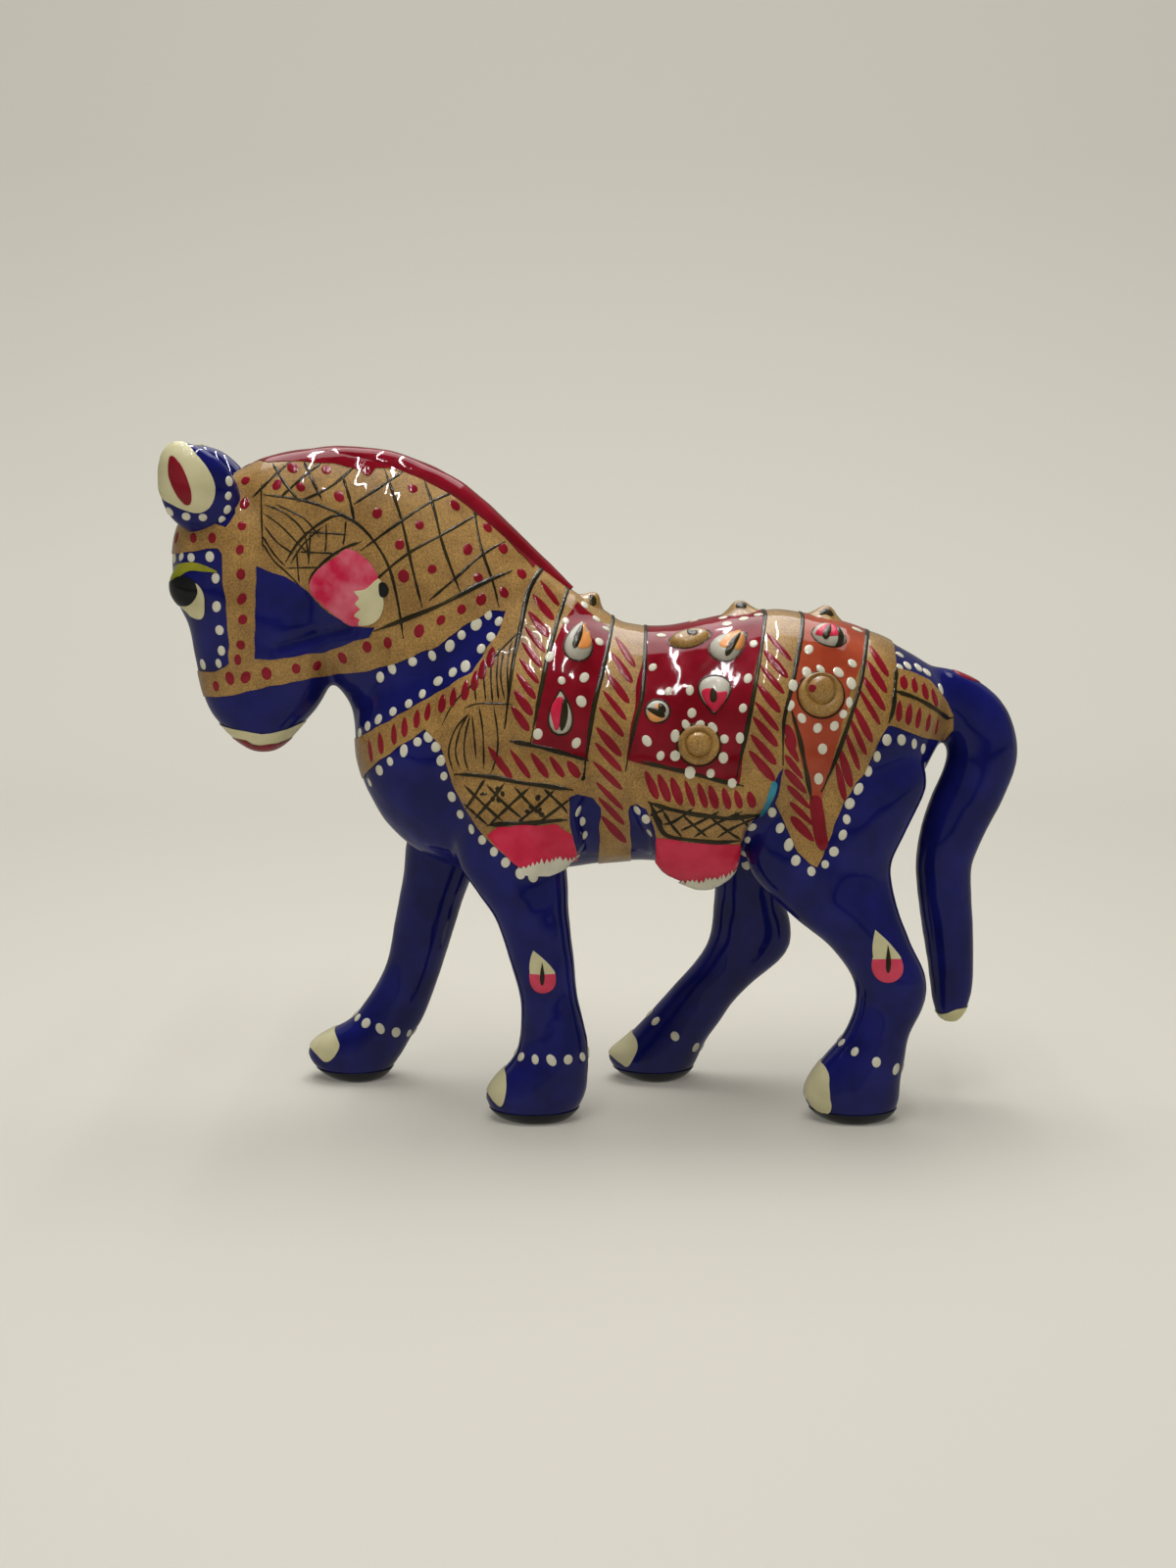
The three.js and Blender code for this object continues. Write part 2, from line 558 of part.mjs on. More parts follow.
// Mane crest: a rounded strip bedded along the top of the neck
function maneSolid() {
  const rows = smooth(MANE);
  const rings = rows.map((r, i) => {
    const before = rows[Math.max(i - 1, 0)];
    const after = rows[Math.min(i + 1, rows.length - 1)];
    const along = new THREE.Vector3(after.x - before.x, 0, after.z - before.z).normalize();
    const up = along.clone().cross(across).setLength(r.rise);
    return ellipse(new THREE.Vector3(r.x, 0, r.z), up, across.clone().setLength(r.half), EAR_SIDES);
  });
  return largest(solidOf(loft(rings)).subtract(bed));
}

// Flaps: the outline, as deep as the flap stands off the trunk and the legs, fitted to the shell
function hangingTrunk() {
  const rings = smooth(TRUNK).map((r) => {
    const bottom = r.bottom - FLAP_HANG;
    const centre = new THREE.Vector3(r.x, 0, (r.top + bottom) / 2);
    const height = new THREE.Vector3(0, 0, (r.top - bottom) / 2);
    return ellipse(centre, height, new THREE.Vector3(0, r.half + FLAP_THICKNESS, 0), TRUNK_SIDES);
  });
  return solidOf(loft(rings));
}

const flapSkin = hangingTrunk().add(bodyForm(FLAP_THICKNESS));

function flapSolid(outline, side) {
  const curve = new THREE.SplineCurve([...outline, outline[0]].map(({ x, z }) => new THREE.Vector2(x, z)));
  const shape = new THREE.Shape(curve.getPoints(2 * outline.length).slice(0, -1));
  const depth = FAR - FLAP_INNER;
  const slab = new THREE.ExtrudeGeometry(shape, { depth, bevelEnabled: false });
  slab.rotateX(Math.PI / 2).translate(0, side < 0 ? -FLAP_INNER : FAR, 0);
  return largest(solidOf(slab).intersect(flapSkin).subtract(bed));
}

// Studs: a raw casting stood on the shell's own surface and bedded on it
const target = new THREE.Mesh(geometryOf(outside));
const ray = new THREE.Raycaster();

function seatOn(origin, direction) {
  ray.set(origin, direction);
  const hit = ray.intersectObject(target)[0];
  return { point: hit.point, normal: hit.face.normal.clone() };
}

// The shell's surface beside a place seen from the side, with its normal evened out over a stud's width.
function sideSeat({ x, z, width }, side) {
  const inward = new THREE.Vector3(0, -side, 0);
  const seatAt = (a, b) => seatOn(new THREE.Vector3(x + a, side * FAR, z + b), inward);
  const middle = seatAt(0, 0);
  const rim = [seatAt(-width / 2, 0), seatAt(width / 2, 0), seatAt(0, -width / 2), seatAt(0, width / 2)];
  const normal = rim.reduce((sum, seat) => sum.add(seat.normal), middle.normal).normalize();
  return { point: middle.point, normal };
}

// A drop with a point at the top and a round foot, domed to a ridge. Local Y points to the tip, Z outwards.
// Its half breadth follows sin t times sin t/2, whose largest value is LEAF_PEAK.
const LEAF_PEAK = 4 / Math.sqrt(27);

function leafForm({ length, width, height }) {
  const layers = [
    { level: -STUD_ROOT, share: 1 },
    { level: 0.35 * height, share: 1 },
    { level: 0.75 * height, share: 0.72 },
    { level: height, share: 0.3 },
  ];
  const drop = Array.from({ length: STUD_SIDES }, (_, i) => {
    const t = (2 * Math.PI * i) / STUD_SIDES;
    const breadth = (Math.sin(t) * Math.sin(t / 2)) / LEAF_PEAK;
    return new THREE.Vector2((width / 2) * breadth, (length / 2) * Math.cos(t));
  });
  const raised = ({ level, share }) => drop.map((p) => new THREE.Vector3(share * p.x, share * p.y, level));
  return loft(layers.map(raised));
}

// A turned stud: its profile gives shares of the radius and of the height, above a root of full radius.
function turnedForm(radius, height, shares) {
  const profile = [
    [0, -STUD_ROOT],
    [radius, -STUD_ROOT],
    ...shares.map(([across, up]) => [across * radius, up * height]),
  ].map(([r, y]) => new THREE.Vector2(r, y));
  return new THREE.LatheGeometry(profile, STUD_SIDES).rotateX(Math.PI / 2);
}

const BOSS_PROFILE = [[1, 0.3], [0.86, 0.5], [0.6, 0.5], [0.54, 0.8], [0.3, 1], [0, 1]];
const CONE_PROFILE = [[1, 0.12], [0.5, 0.5], [0.2, 0.85], [0, 1]];

// A raw stud turned so that its Z leaves the surface and its Y points up, then bedded.
function setStud(raw, { point, normal }, turn, towards = new THREE.Vector3(0, 0, 1)) {
  const up = towards.projectOnPlane(normal).normalize();
  up.applyAxisAngle(normal, THREE.MathUtils.degToRad(turn));
  const right = up.clone().cross(normal);
  const place = new THREE.Matrix4().makeBasis(right, up, normal).setPosition(point);
  return largest(solidOf(raw.applyMatrix4(place)).subtract(bed));
}

// The assembly
const horse = new THREE.Group();

function piece(name, solid, material) {
  const mesh = new THREE.Mesh(geometryOf(solid), material);
  mesh.name = name;
  horse.add(mesh);
}

for (const [sideName, side] of Object.entries(SIDES)) {
  piece(`${sideName}_half_shell`, halfShell(side), COBALT);
  piece(`${sideName}_ear`, earSolid(side), COBALT);
  for (const { name, outline } of FLAPS) piece(`${sideName}_${name}`, flapSolid(outline, side), PINK);
  for (const stud of SIDE_STUDS) {
    const round = stud.shape === "boss";
    const raw = round ? turnedForm(stud.width / 2, stud.height, BOSS_PROFILE) : leafForm(stud);
    piece(`${sideName}_${stud.name}_stud`, setStud(raw, sideSeat(stud, side), -side * stud.turn), GOLD);
  }
}
for (const leg of LEGS) piece(leg.name, legSolid(leg), COBALT);
piece("tail", tailSolid, COBALT);
piece("mane_crest", maneSolid(), CRIMSON);
for (const { name, x } of BACK_STUDS) {
  const { point } = seatOn(new THREE.Vector3(x, 0, FAR), new THREE.Vector3(0, 0, -1));
  const upright = { point, normal: new THREE.Vector3(0, 0, 1) };
  const raw = turnedForm(BACK_STUD_RADIUS, BACK_STUD_HEIGHT, CONE_PROFILE);
  piece(name, setStud(raw, upright, 0, new THREE.Vector3(-1, 0, 0)), GOLD);
}

// The origin is on the ground below the middle of the figurine.
const reach = new THREE.Box3().setFromObject(horse);
horse.position.set(-(reach.min.x + reach.max.x) / 2, -(reach.min.y + reach.max.y) / 2, -reach.min.z);

export default horse;
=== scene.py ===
import math

import bpy
import numpy as np
from mathutils.bvhtree import BVHTree
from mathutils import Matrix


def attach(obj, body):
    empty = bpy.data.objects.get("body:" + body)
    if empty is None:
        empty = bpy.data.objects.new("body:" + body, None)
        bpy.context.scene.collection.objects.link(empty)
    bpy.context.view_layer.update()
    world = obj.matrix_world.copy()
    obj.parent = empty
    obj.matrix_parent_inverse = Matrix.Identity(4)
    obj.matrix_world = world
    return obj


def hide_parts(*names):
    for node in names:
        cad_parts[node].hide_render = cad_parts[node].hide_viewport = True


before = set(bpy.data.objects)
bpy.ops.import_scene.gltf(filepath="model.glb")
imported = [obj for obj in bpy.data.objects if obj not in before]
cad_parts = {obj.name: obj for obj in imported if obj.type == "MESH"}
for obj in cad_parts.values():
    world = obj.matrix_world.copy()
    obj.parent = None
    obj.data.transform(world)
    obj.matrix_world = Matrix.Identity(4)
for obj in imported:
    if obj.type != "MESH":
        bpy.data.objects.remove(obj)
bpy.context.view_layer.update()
scene = bpy.context.scene
scene.view_settings.view_transform = "Standard"

# Camera. Its place comes from the near and far hooves of the photograph, and every painted mark below
# is placed by its pixel there. Lengths are in millimetres until a mesh is made.
MM = 0.001
PHOTO_MIDDLE = np.array([600, 800])
PHOTO_LONG_SIDE = 1600
FOCAL_PIXELS = 2235
SENSOR_SIZE = 36
CLIP_START = 10
CAMERA_PITCH = math.radians(7.2)
CAMERA_DISTANCE = 330
CAMERA_HEIGHT = 90.3
# from the model's origin to the point the stations are drawn from
DRAWING_SHIFT = np.array([1.337, 0, 0])

camera_place = np.array([0, -CAMERA_DISTANCE, CAMERA_HEIGHT]) - DRAWING_SHIFT
view_forward = np.array([0, math.cos(CAMERA_PITCH), -math.sin(CAMERA_PITCH)])
view_up = np.array([0, math.sin(CAMERA_PITCH), math.cos(CAMERA_PITCH)])
view_right = np.array([1, 0, 0])

camera = bpy.data.objects.new("camera", bpy.data.cameras.new("camera"))
camera.data.sensor_width = SENSOR_SIZE
camera.data.lens = FOCAL_PIXELS * SENSOR_SIZE / PHOTO_LONG_SIDE
camera.data.clip_start = CLIP_START * MM
camera.location = camera_place * MM
camera.rotation_euler = (math.pi / 2 - CAMERA_PITCH, 0, 0)
scene.collection.objects.link(camera)
scene.camera = camera

# Backdrop. A pale paper sweep carries the horse and rises behind it in one bend. It isn't part of the
# object.
SWEEP_FRONT = -420
SWEEP_BEND_START = 330
SWEEP_BEND_RADIUS = 320
SWEEP_TOP = 1400
SWEEP_HALF_WIDTH = 1300
BEND_STEPS = 24
EVEN_SHARES = (0.15, 0.7)  # of the paper's own colour, on the floor and up the bend
EVEN_DEPTHS = (80, 430)
# heights over which the paper turns darker up the wall, as painted shade
WALL_HEIGHTS = (60, 240)
MIRRORED_PAPER_LEVEL = 0.35
MIRRORED_DEPTHS = (-300, -165)
PAPER_ROUGHNESS = 0.5
PAPER_SHINE = 0.3


def screen_colour(red, green, blue):
    """A colour given as it looks on screen, from 0 to 255, as the linear colour of a shader socket."""
    share = np.array([red, green, blue]) / 255
    linear = np.where(share <= 0.04045, share / 12.92, ((share + 0.055) / 1.055) ** 2.4)
    return (*linear, 1)


FLOOR_SHADE = screen_colour(216, 212, 200)
# painted shade: the paper's colour high up the wall, darker where less light reaches
WALL_PAINTED_SHADE = screen_colour(199, 196, 184)
MIRRORED_FRONT_SHADE = screen_colour(70, 69, 65)


def feed(tree, sockets, given):
    """Gives some of a node's input sockets, by name, a value or the result of another node."""
    for name, value in given.items():
        if isinstance(value, bpy.types.NodeSocket):
            tree.links.new(value, sockets[name])
        else:
            sockets[name].default_value = value


def ramp(tree, value, starts, ends=(0, 1)):
    """A value that goes from one end to the other while the given one goes between the two starts."""
    change = tree.nodes.new("ShaderNodeMapRange")
    numbers = zip(("From Min", "From Max", "To Min", "To Max"), (*starts, *ends))
    feed(tree, change.inputs, {"Value": value, **dict(numbers)})
    return change.outputs["Result"]


def mix_colours(tree, share, first, second, mode="MIX"):
    """A colour between two, or their product."""
    mix = tree.nodes.new("ShaderNodeMix")
    mix.data_type = "RGBA"
    mix.blend_type = mode
    feed(tree, mix.inputs, {"Factor": share, "A": first, "B": second})
    return mix.outputs["Result"]


def add_piece(name, points, faces, material):
    """A piece at the origin from points in millimetres and faces, given as lists or as one array."""
    mesh = bpy.data.meshes.new(name)
    if isinstance(faces, np.ndarray):
        count, corners = faces.shape
        mesh.vertices.add(len(points))
        mesh.vertices.foreach_set("co", np.asarray(points * MM, np.float32).ravel())
        mesh.loops.add(faces.size)
        mesh.loops.foreach_set("vertex_index", np.asarray(faces, np.int32).ravel())
        mesh.polygons.add(count)
        mesh.polygons.foreach_set("loop_start", np.arange(0, faces.size, corners, dtype=np.int32))
        mesh.update(calc_edges=True)
    else:
        mesh.from_pydata((np.asarray(points) * MM).tolist(), [], faces)
    mesh.materials.append(material)
    piece = bpy.data.objects.new(name, mesh)
    scene.collection.objects.link(piece)
    return piece


def paper():
    """Warm grey paper, darker up the wall as painted shade where less light reaches. Seen straight,
    a share of it is its own colour, so that the backdrop stays even, and the rest is lit and keeps the
    shadow. The lacquer reflects it evenly and dimmer, and darkest in front, as in a dim room."""
    material = bpy.data.materials.new("paper")
    material.use_nodes = True
    tree = material.node_tree
    surface = tree.nodes["Principled BSDF"]
    place = tree.nodes.new("ShaderNodeTexCoord")
    axes = tree.nodes.new("ShaderNodeSeparateXYZ")
    feed(tree, axes.inputs, {"Vector": place.outputs["Object"]})
    up, back = axes.outputs["Z"], axes.outputs["Y"]
    pale = mix_colours(tree, ramp(tree, up, np.array(WALL_HEIGHTS) * MM), FLOOR_SHADE, WALL_PAINTED_SHADE)
    mirrored_share = ramp(tree, back, np.array(MIRRORED_DEPTHS) * MM)
    mirrored = mix_colours(tree, mirrored_share, MIRRORED_FRONT_SHADE, pale)
    feed(tree, surface.inputs, {
        "Base Color": pale,
        "Roughness": PAPER_ROUGHNESS,
        "Specular IOR Level": PAPER_SHINE,
    })
    seen = tree.nodes.new("ShaderNodeLightPath")
    straight = tree.nodes.new("ShaderNodeMath")
    straight.operation = "MULTIPLY"
    even_share = ramp(tree, back, np.array(EVEN_DEPTHS) * MM, EVEN_SHARES)
    feed(tree, straight.inputs, {0: seen.outputs["Is Camera Ray"], 1: even_share})
    outcome = surface.outputs["BSDF"]
    ways = (
        (straight.outputs["Value"], pale, 1),
        (seen.outputs["Is Glossy Ray"], mirrored, MIRRORED_PAPER_LEVEL),
    )
    for share, colour, level in ways:
        even = tree.nodes.new("ShaderNodeEmission")
        feed(tree, even.inputs, {"Strength": level, "Color": colour})
        mix = tree.nodes.new("ShaderNodeMixShader")
        feed(tree, mix.inputs, {"Fac": share, 1: outcome, 2: even.outputs["Emission"]})
        outcome = mix.outputs["Shader"]
    feed(tree, tree.nodes["Material Output"].inputs, {"Surface": outcome})
    return material


bend = np.linspace(0, math.pi / 2, BEND_STEPS)
bend_y = SWEEP_BEND_START + SWEEP_BEND_RADIUS * np.sin(bend)
bend_z = SWEEP_BEND_RADIUS * (1 - np.cos(bend))
sweep_y = np.concatenate([[SWEEP_FRONT], bend_y, bend_y[-1:]])
sweep_z = np.concatenate([[0], bend_z, [SWEEP_TOP]])
sweep_edges = [
    np.stack([np.full_like(sweep_y, side * SWEEP_HALF_WIDTH), sweep_y, sweep_z], 1) for side in (-1, 1)
]
sweep_count = len(sweep_y)
sweep_faces = [(i, i + sweep_count, i + 1 + sweep_count, i + 1) for i in range(sweep_count - 1)]
sweep = add_piece("paper_sweep", np.concatenate(sweep_edges), sweep_faces, paper())
sweep.data.shade_smooth()

# Light. A large soft box hangs above and behind, three thin lamps overhead draw the sharp streaks on the
# lacquer, and the room fills the shadows, pale above and dimmer at eye level.
SOFT_BOX_PLACE = (0, 330, 570)
SOFT_BOX_SIZE = 560
SOFT_BOX_POWER = 1.85
LAMP_DEPTH = -60
LAMP_HEIGHT = 420
LAMP_LENGTH = 560
LAMP_WIDTH = 1.2
LAMP_POWER = 0.5
LAMP_PLACES = (-95, -20, 55)
# by height of direction, from straight down to straight up
ROOM_SHADES = (
    (0.0, (160, 158, 152)),
    (0.5, (212, 210, 203)),
    (0.75, (130, 129, 124)),
    (1.0, (60, 59, 57)),
)
ROOM_LEVEL = 1
MIRRORED_ROOM_LEVEL = 0.25  # the lacquer reflects a dimmer room than the one that lights it


def area_light(name, place, size, power):
    """A lamp that shines down from a place, with its two sizes in millimetres."""
    light = bpy.data.lights.new(name, "AREA")
    light.shape = "RECTANGLE"
    light.size, light.size_y = np.array(size) * MM
    light.energy = power
    lamp = bpy.data.objects.new(name, light)
    lamp.location = np.array(place) * MM
    scene.collection.objects.link(lamp)


area_light("soft_box", SOFT_BOX_PLACE, (SOFT_BOX_SIZE, SOFT_BOX_SIZE), SOFT_BOX_POWER)
for number, lamp_x in enumerate(LAMP_PLACES):
    lamp_place = (lamp_x, LAMP_DEPTH, LAMP_HEIGHT)
    area_light(f"thin_lamp_{number}", lamp_place, (LAMP_WIDTH, LAMP_LENGTH), LAMP_POWER)
room = bpy.data.worlds.new("room")
room.use_nodes = True
room_tree = room.node_tree
room_direction = room_tree.nodes.new("ShaderNodeTexCoord")
room_axes = room_tree.nodes.new("ShaderNodeSeparateXYZ")
feed(room_tree, room_axes.inputs, {"Vector": room_direction.outputs["Generated"]})
room_shades = room_tree.nodes.new("ShaderNodeValToRGB")
while len(room_shades.color_ramp.elements) < len(ROOM_SHADES):
    room_shades.color_ramp.elements.new(0.5)
for element, (share, shade) in zip(room_shades.color_ramp.elements, ROOM_SHADES):
    element.position = share
    element.color = screen_colour(*shade)
feed(room_tree, room_shades.inputs, {"Fac": ramp(room_tree, room_axes.outputs["Z"], (-1, 1))})
room_seen = room_tree.nodes.new("ShaderNodeLightPath")
room_levels = (ROOM_LEVEL, MIRRORED_ROOM_LEVEL)
feed(room_tree, room_tree.nodes["Background"].inputs, {
    "Color": room_shades.outputs["Color"],
    "Strength": ramp(room_tree, room_seen.outputs["Is Glossy Ray"], (0, 1), room_levels),
})
scene.world = room

# Enamelled skin. Smooth forms through the drawn stations of the trunk, neck, head, legs, tail and
# hanging flaps are merged into one skin and rounded where they meet, like enamel over a casting.
SKIN_GROWTH = 0.3  # makes up for what the rounding takes off
SKIN_GRAIN = 0.5  # mesh size of the merged skin
ROUNDING_STEPS = 26
ROUNDING_FACTOR = 0.5
LUMP_DEPTH = 0.06
LUMP_COUNT = 40
LUMP_LENGTHS = (1.7, 9)
LUMP_SEED = 7
TAIL_FLATNESS = 0.9
FLAP_THICKNESS = 1.6
FLAP_FADE = 9  # height over which a flap thins out to its top edge
FLAP_HANG = 5
FLAP_INNER = 8
FLAP_RINGS = 14
FLAP_CORE = 0.02  # size of a flap's innermost ring as a share of its edge

# x, top, bottom, half width
TRUNK = [
    (-35.0, 60.0, 53.0, 3.0),
    (-33.5, 63.5, 48.5, 7.0),
    (-30.0, 67.5, 42.5, 10.5),
    (-24.0, 71.0, 37.8, 13.2),
    (-15.0, 74.5, 35.0, 15.0),
    (-5.0, 76.0, 36.0, 15.6),
    (5.0, 72.7, 37.3, 15.6),
    (12.0, 72.1, 37.3, 15.6),
    (20.0, 73.6, 37.0, 15.8),
    (28.0, 74.6, 37.0, 16.0),
    (36.0, 73.3, 38.5, 15.6),
    (43.0, 71.1, 41.5, 14.0),
    (48.5, 68.3, 47.5, 11.0),
    (52.0, 66.0, 53.5, 7.2),
    (54.0, 63.0, 57.0, 3.5),
]
# crest x and z, throat x and z, half width
NECK = [
    (4.0, 73.5, -30.0, 46.0, 12.5),
    (-4.5, 79.0, -34.6, 55.0, 10.8),
    (-12.5, 86.6, -35.4, 60.2, 9.2),
    (-20.0, 93.1, -37.6, 63.6, 8.2),
    (-29.0, 97.4, -42.0, 69.0, 7.6),
    (-38.0, 98.7, -46.0, 75.0, 7.0),
    (-46.5, 97.7, -50.0, 81.0, 6.4),
    (-52.8, 95.2, -55.0, 87.5, 4.6),
]
# z, front, rear, half width, of slices down the middle plane
HEAD = [
    (93.5, -55.6, -46.0, 4.5),
    (90.0, -59.6, -43.0, 6.6),
    (85.5, -61.7, -40.0, 7.8),
    (80.0, -61.9, -38.0, 8.2),
    (76.0, -61.2, -37.0, 8.1),
    (73.0, -59.8, -36.8, 7.8),
    (70.0, -59.2, -36.8, 7.4),
    (65.0, -58.4, -38.6, 6.7),
    (60.5, -57.1, -41.0, 6.2),
    (57.5, -55.0, -43.7, 5.6),
    (55.0, -52.2, -46.0, 4.0),
    (53.9, -50.2, -47.8, 2.0),
]
EYE_MIDDLE = (-58.0, 4.6, 78.8)
EYE_HALF_SIZES = (3.7, 3.0, 3.5)
EYE_RINGS = 24
EYE_POLE_GAP = 0.05
# z, front, rear, distance from the middle plane, half width
LEGS = {
    "front_left_leg": (-1, [
        (54.0, -18.5, -6.0, 8.6, 4.8),
        (46.0, -19.5, -4.5, 9.6, 5.6),
        (38.6, -19.0, -3.6, 10.0, 5.6),
        (35.0, -17.0, -3.2, 10.3, 5.4),
        (30.0, -13.5, -3.0, 10.8, 4.9),
        (24.0, -11.5, -2.3, 11.2, 4.3),
        (18.5, -9.9, -1.8, 11.6, 3.9),
        (13.0, -9.8, -0.5, 11.8, 4.1),
        (9.4, -10.7, -0.1, 12.0, 4.5),
        (6.4, -13.4, -0.3, 12.0, 5.0),
        (3.8, -15.0, -0.6, 12.0, 5.2),
        (1.6, -14.3, -1.7, 12.0, 5.0),
        (0.0, -12.1, -3.2, 12.0, 4.1),
    ]),
    "front_right_leg": (1, [
        (54.0, -23.0, -8.0, 8.2, 4.6),
        (46.0, -26.0, -10.0, 9.2, 5.4),
        (38.6, -28.2, -15.0, 10.0, 5.6),
        (34.6, -28.6, -17.5, 10.3, 5.2),
        (30.0, -29.4, -19.6, 10.8, 4.8),
        (24.0, -30.6, -21.5, 11.2, 4.3),
        (19.0, -31.6, -23.1, 11.6, 4.0),
        (14.0, -34.0, -24.8, 11.8, 4.1),
        (9.4, -37.6, -26.6, 12.0, 4.5),
        (7.4, -41.2, -27.9, 12.0, 4.9),
        (6.0, -43.6, -28.7, 12.0, 5.1),
        (3.8, -44.5, -30.0, 12.0, 5.2),
        (1.6, -42.9, -31.5, 12.0, 5.0),
        (0.0, -40.4, -32.9, 12.0, 4.0),
    ]),
    "hind_left_leg": (-1, [
        (56.0, 26.0, 48.0, 8.4, 4.8),
        (50.0, 24.6, 49.8, 9.2, 5.8),
        (44.0, 24.2, 47.3, 9.6, 6.2),
        (38.6, 23.8, 44.8, 9.8, 6.0),
        (35.0, 25.6, 44.7, 10.1, 5.7),
        (30.0, 30.9, 46.1, 10.8, 5.2),
        (26.0, 35.8, 47.7, 11.2, 4.7),
        (21.1, 39.5, 49.9, 11.6, 4.4),
        (16.8, 39.8, 49.4, 11.8, 4.1),
        (12.5, 38.0, 47.3, 12.0, 4.2),
        (9.4, 35.4, 46.9, 12.0, 4.6),
        (6.4, 33.2, 46.3, 12.0, 5.0),
        (3.6, 32.3, 46.2, 12.0, 5.2),
        (1.5, 33.4, 45.6, 12.0, 5.0),
        (0.0, 35.4, 44.2, 12.0, 4.1),
    ]),
    "hind_right_leg": (1, [
        (56.0, 25.0, 45.0, 8.4, 4.8),
        (50.0, 23.2, 45.6, 9.2, 5.8),
        (44.0, 22.0, 43.5, 9.6, 6.2),
        (38.0, 20.5, 37.0, 9.8, 6.0),
        (34.0, 20.2, 32.6, 10.3, 5.6),
        (30.0, 20.2, 30.6, 10.8, 5.0),
        (25.2, 19.9, 31.8, 11.2, 4.7),
        (22.0, 19.2, 31.9, 11.4, 4.5),
        (18.9, 17.5, 30.0, 11.6, 4.3),
        (15.7, 14.7, 26.2, 11.8, 4.2),
        (12.5, 12.0, 23.1, 12.0, 4.2),
        (9.4, 9.2, 21.0, 12.0, 4.5),
        (6.2, 6.2, 18.7, 12.0, 5.0),
        (3.8, 3.4, 17.6, 12.0, 5.2),
        (1.6, 4.5, 16.5, 12.0, 5.0),
        (0.0, 7.0, 14.8, 12.0, 4.0),
    ]),
}
# x, z, radius
TAIL = [
    (48.5, 61.8, 4.4),
    (52.5, 61.4, 4.8),
    (56.0, 60.2, 4.8),
    (58.7, 57.4, 5.1),
    (59.8, 53.4, 5.0),
    (58.7, 49.2, 4.8),
    (56.8, 45.0, 4.7),
    (55.1, 40.5, 4.4),
    (54.2, 36.0, 4.0),
    (54.6, 30.5, 3.8),
    (55.3, 24.5, 3.5),
    (55.8, 18.5, 3.1),
    (55.7, 15.0, 2.6),
    (55.4, 12.6, 1.6),
    (55.2, 11.8, 0.5),
]
# x, z of each hanging flap's outline
FLAPS = {
    "shoulder_flap": [
        (-17.4, 54.2), (-18.7, 50.6), (-18.0, 47.5), (-16.3, 44.3), (-13.0, 39.8), (-8.5, 37.4),
        (-3.5, 38.1), (-0.8, 41.3), (-1.7, 46.1), (-0.3, 54.2),
    ],
    "saddle_flap": [
        (6.7, 50.6), (7.6, 46.0), (9.4, 43.0), (9.6, 39.3), (11.0, 36.6), (13.6, 34.9), (16.9, 33.7),
        (19.6, 34.5), (21.6, 36.6), (22.3, 40.0), (22.8, 44.0), (25.6, 47.8), (26.6, 51.3),
    ],
}
NOISES = {"Cloud": (190, 3), "Speck": (4200, 2), "Relief": (520, 1)}  # scale and detail of each
CLOUD_RANGE = (0.35, 0.65)
SPECK_RANGE = (0.38, 0.62)
GLOSS_SPREAD = np.array([0.75, 1.25])
COAT_ROUGHNESS = 0.03
SIDES = {"left": -1, "right": 1}
RING_SIDES = 64
STATION_STEPS = 4
# pixels of the lines between the bands of the cloth, from head to tail
BORDERS = [
    [(552, 581), (539, 604), (530, 647), (523, 682), (515, 744)],
    [(581, 594), (562, 659), (551, 710), (541, 760)],
    [(625, 634), (617, 675), (606, 721), (599, 767), (596, 792)],
    [(659, 641), (656, 705), (647, 743), (638, 787)],
    [(781, 629), (776, 669), (765, 730), (750, 800)],
    [(819, 631), (817, 653), (808, 701), (800, 735), (799, 781)],
    [(885, 641), (879, 692), (867, 734), (852, 776), (838, 808)],
]
CLOTH_END = [(913, 600), (914, 680), (906, 738), (882, 788)]
BAND_RISES = (0.15, 0.12, 0.15, 0.12, 0.15, 0.12, 0.15)
BAND_FOOT = 830  # the bands lie flat again from this pixel row down
BAND_FADE = 60
# the crease behind the mouth: its two ends, its depth, and its half width in pixels
CREASE_ENDS = np.array([(286, 660), (356, 640)])
CREASE_DEPTH = 0.9
CREASE_HALF_WIDTH = 6


def unevenness_group():
    """Shader group: a slow cloud, a fine speck and a relief height, from a place in the model."""
    group = bpy.data.node_groups.new("hand_laid_unevenness", "ShaderNodeTree")
    for name in NOISES:
        group.interface.new_socket(name, in_out="OUTPUT", socket_type="NodeSocketFloat")
    place = group.nodes.new("ShaderNodeTexCoord")
    outlet = group.nodes.new("NodeGroupOutput")
    for name, (scale, detail) in NOISES.items():
        noise = group.nodes.new("ShaderNodeTexNoise")
        feed(group, noise.inputs, {"Vector": place.outputs["Object"], "Scale": scale, "Detail": detail})
        feed(group, outlet.inputs, {name: noise.outputs["Fac"]})
    return group


unevenness = unevenness_group()


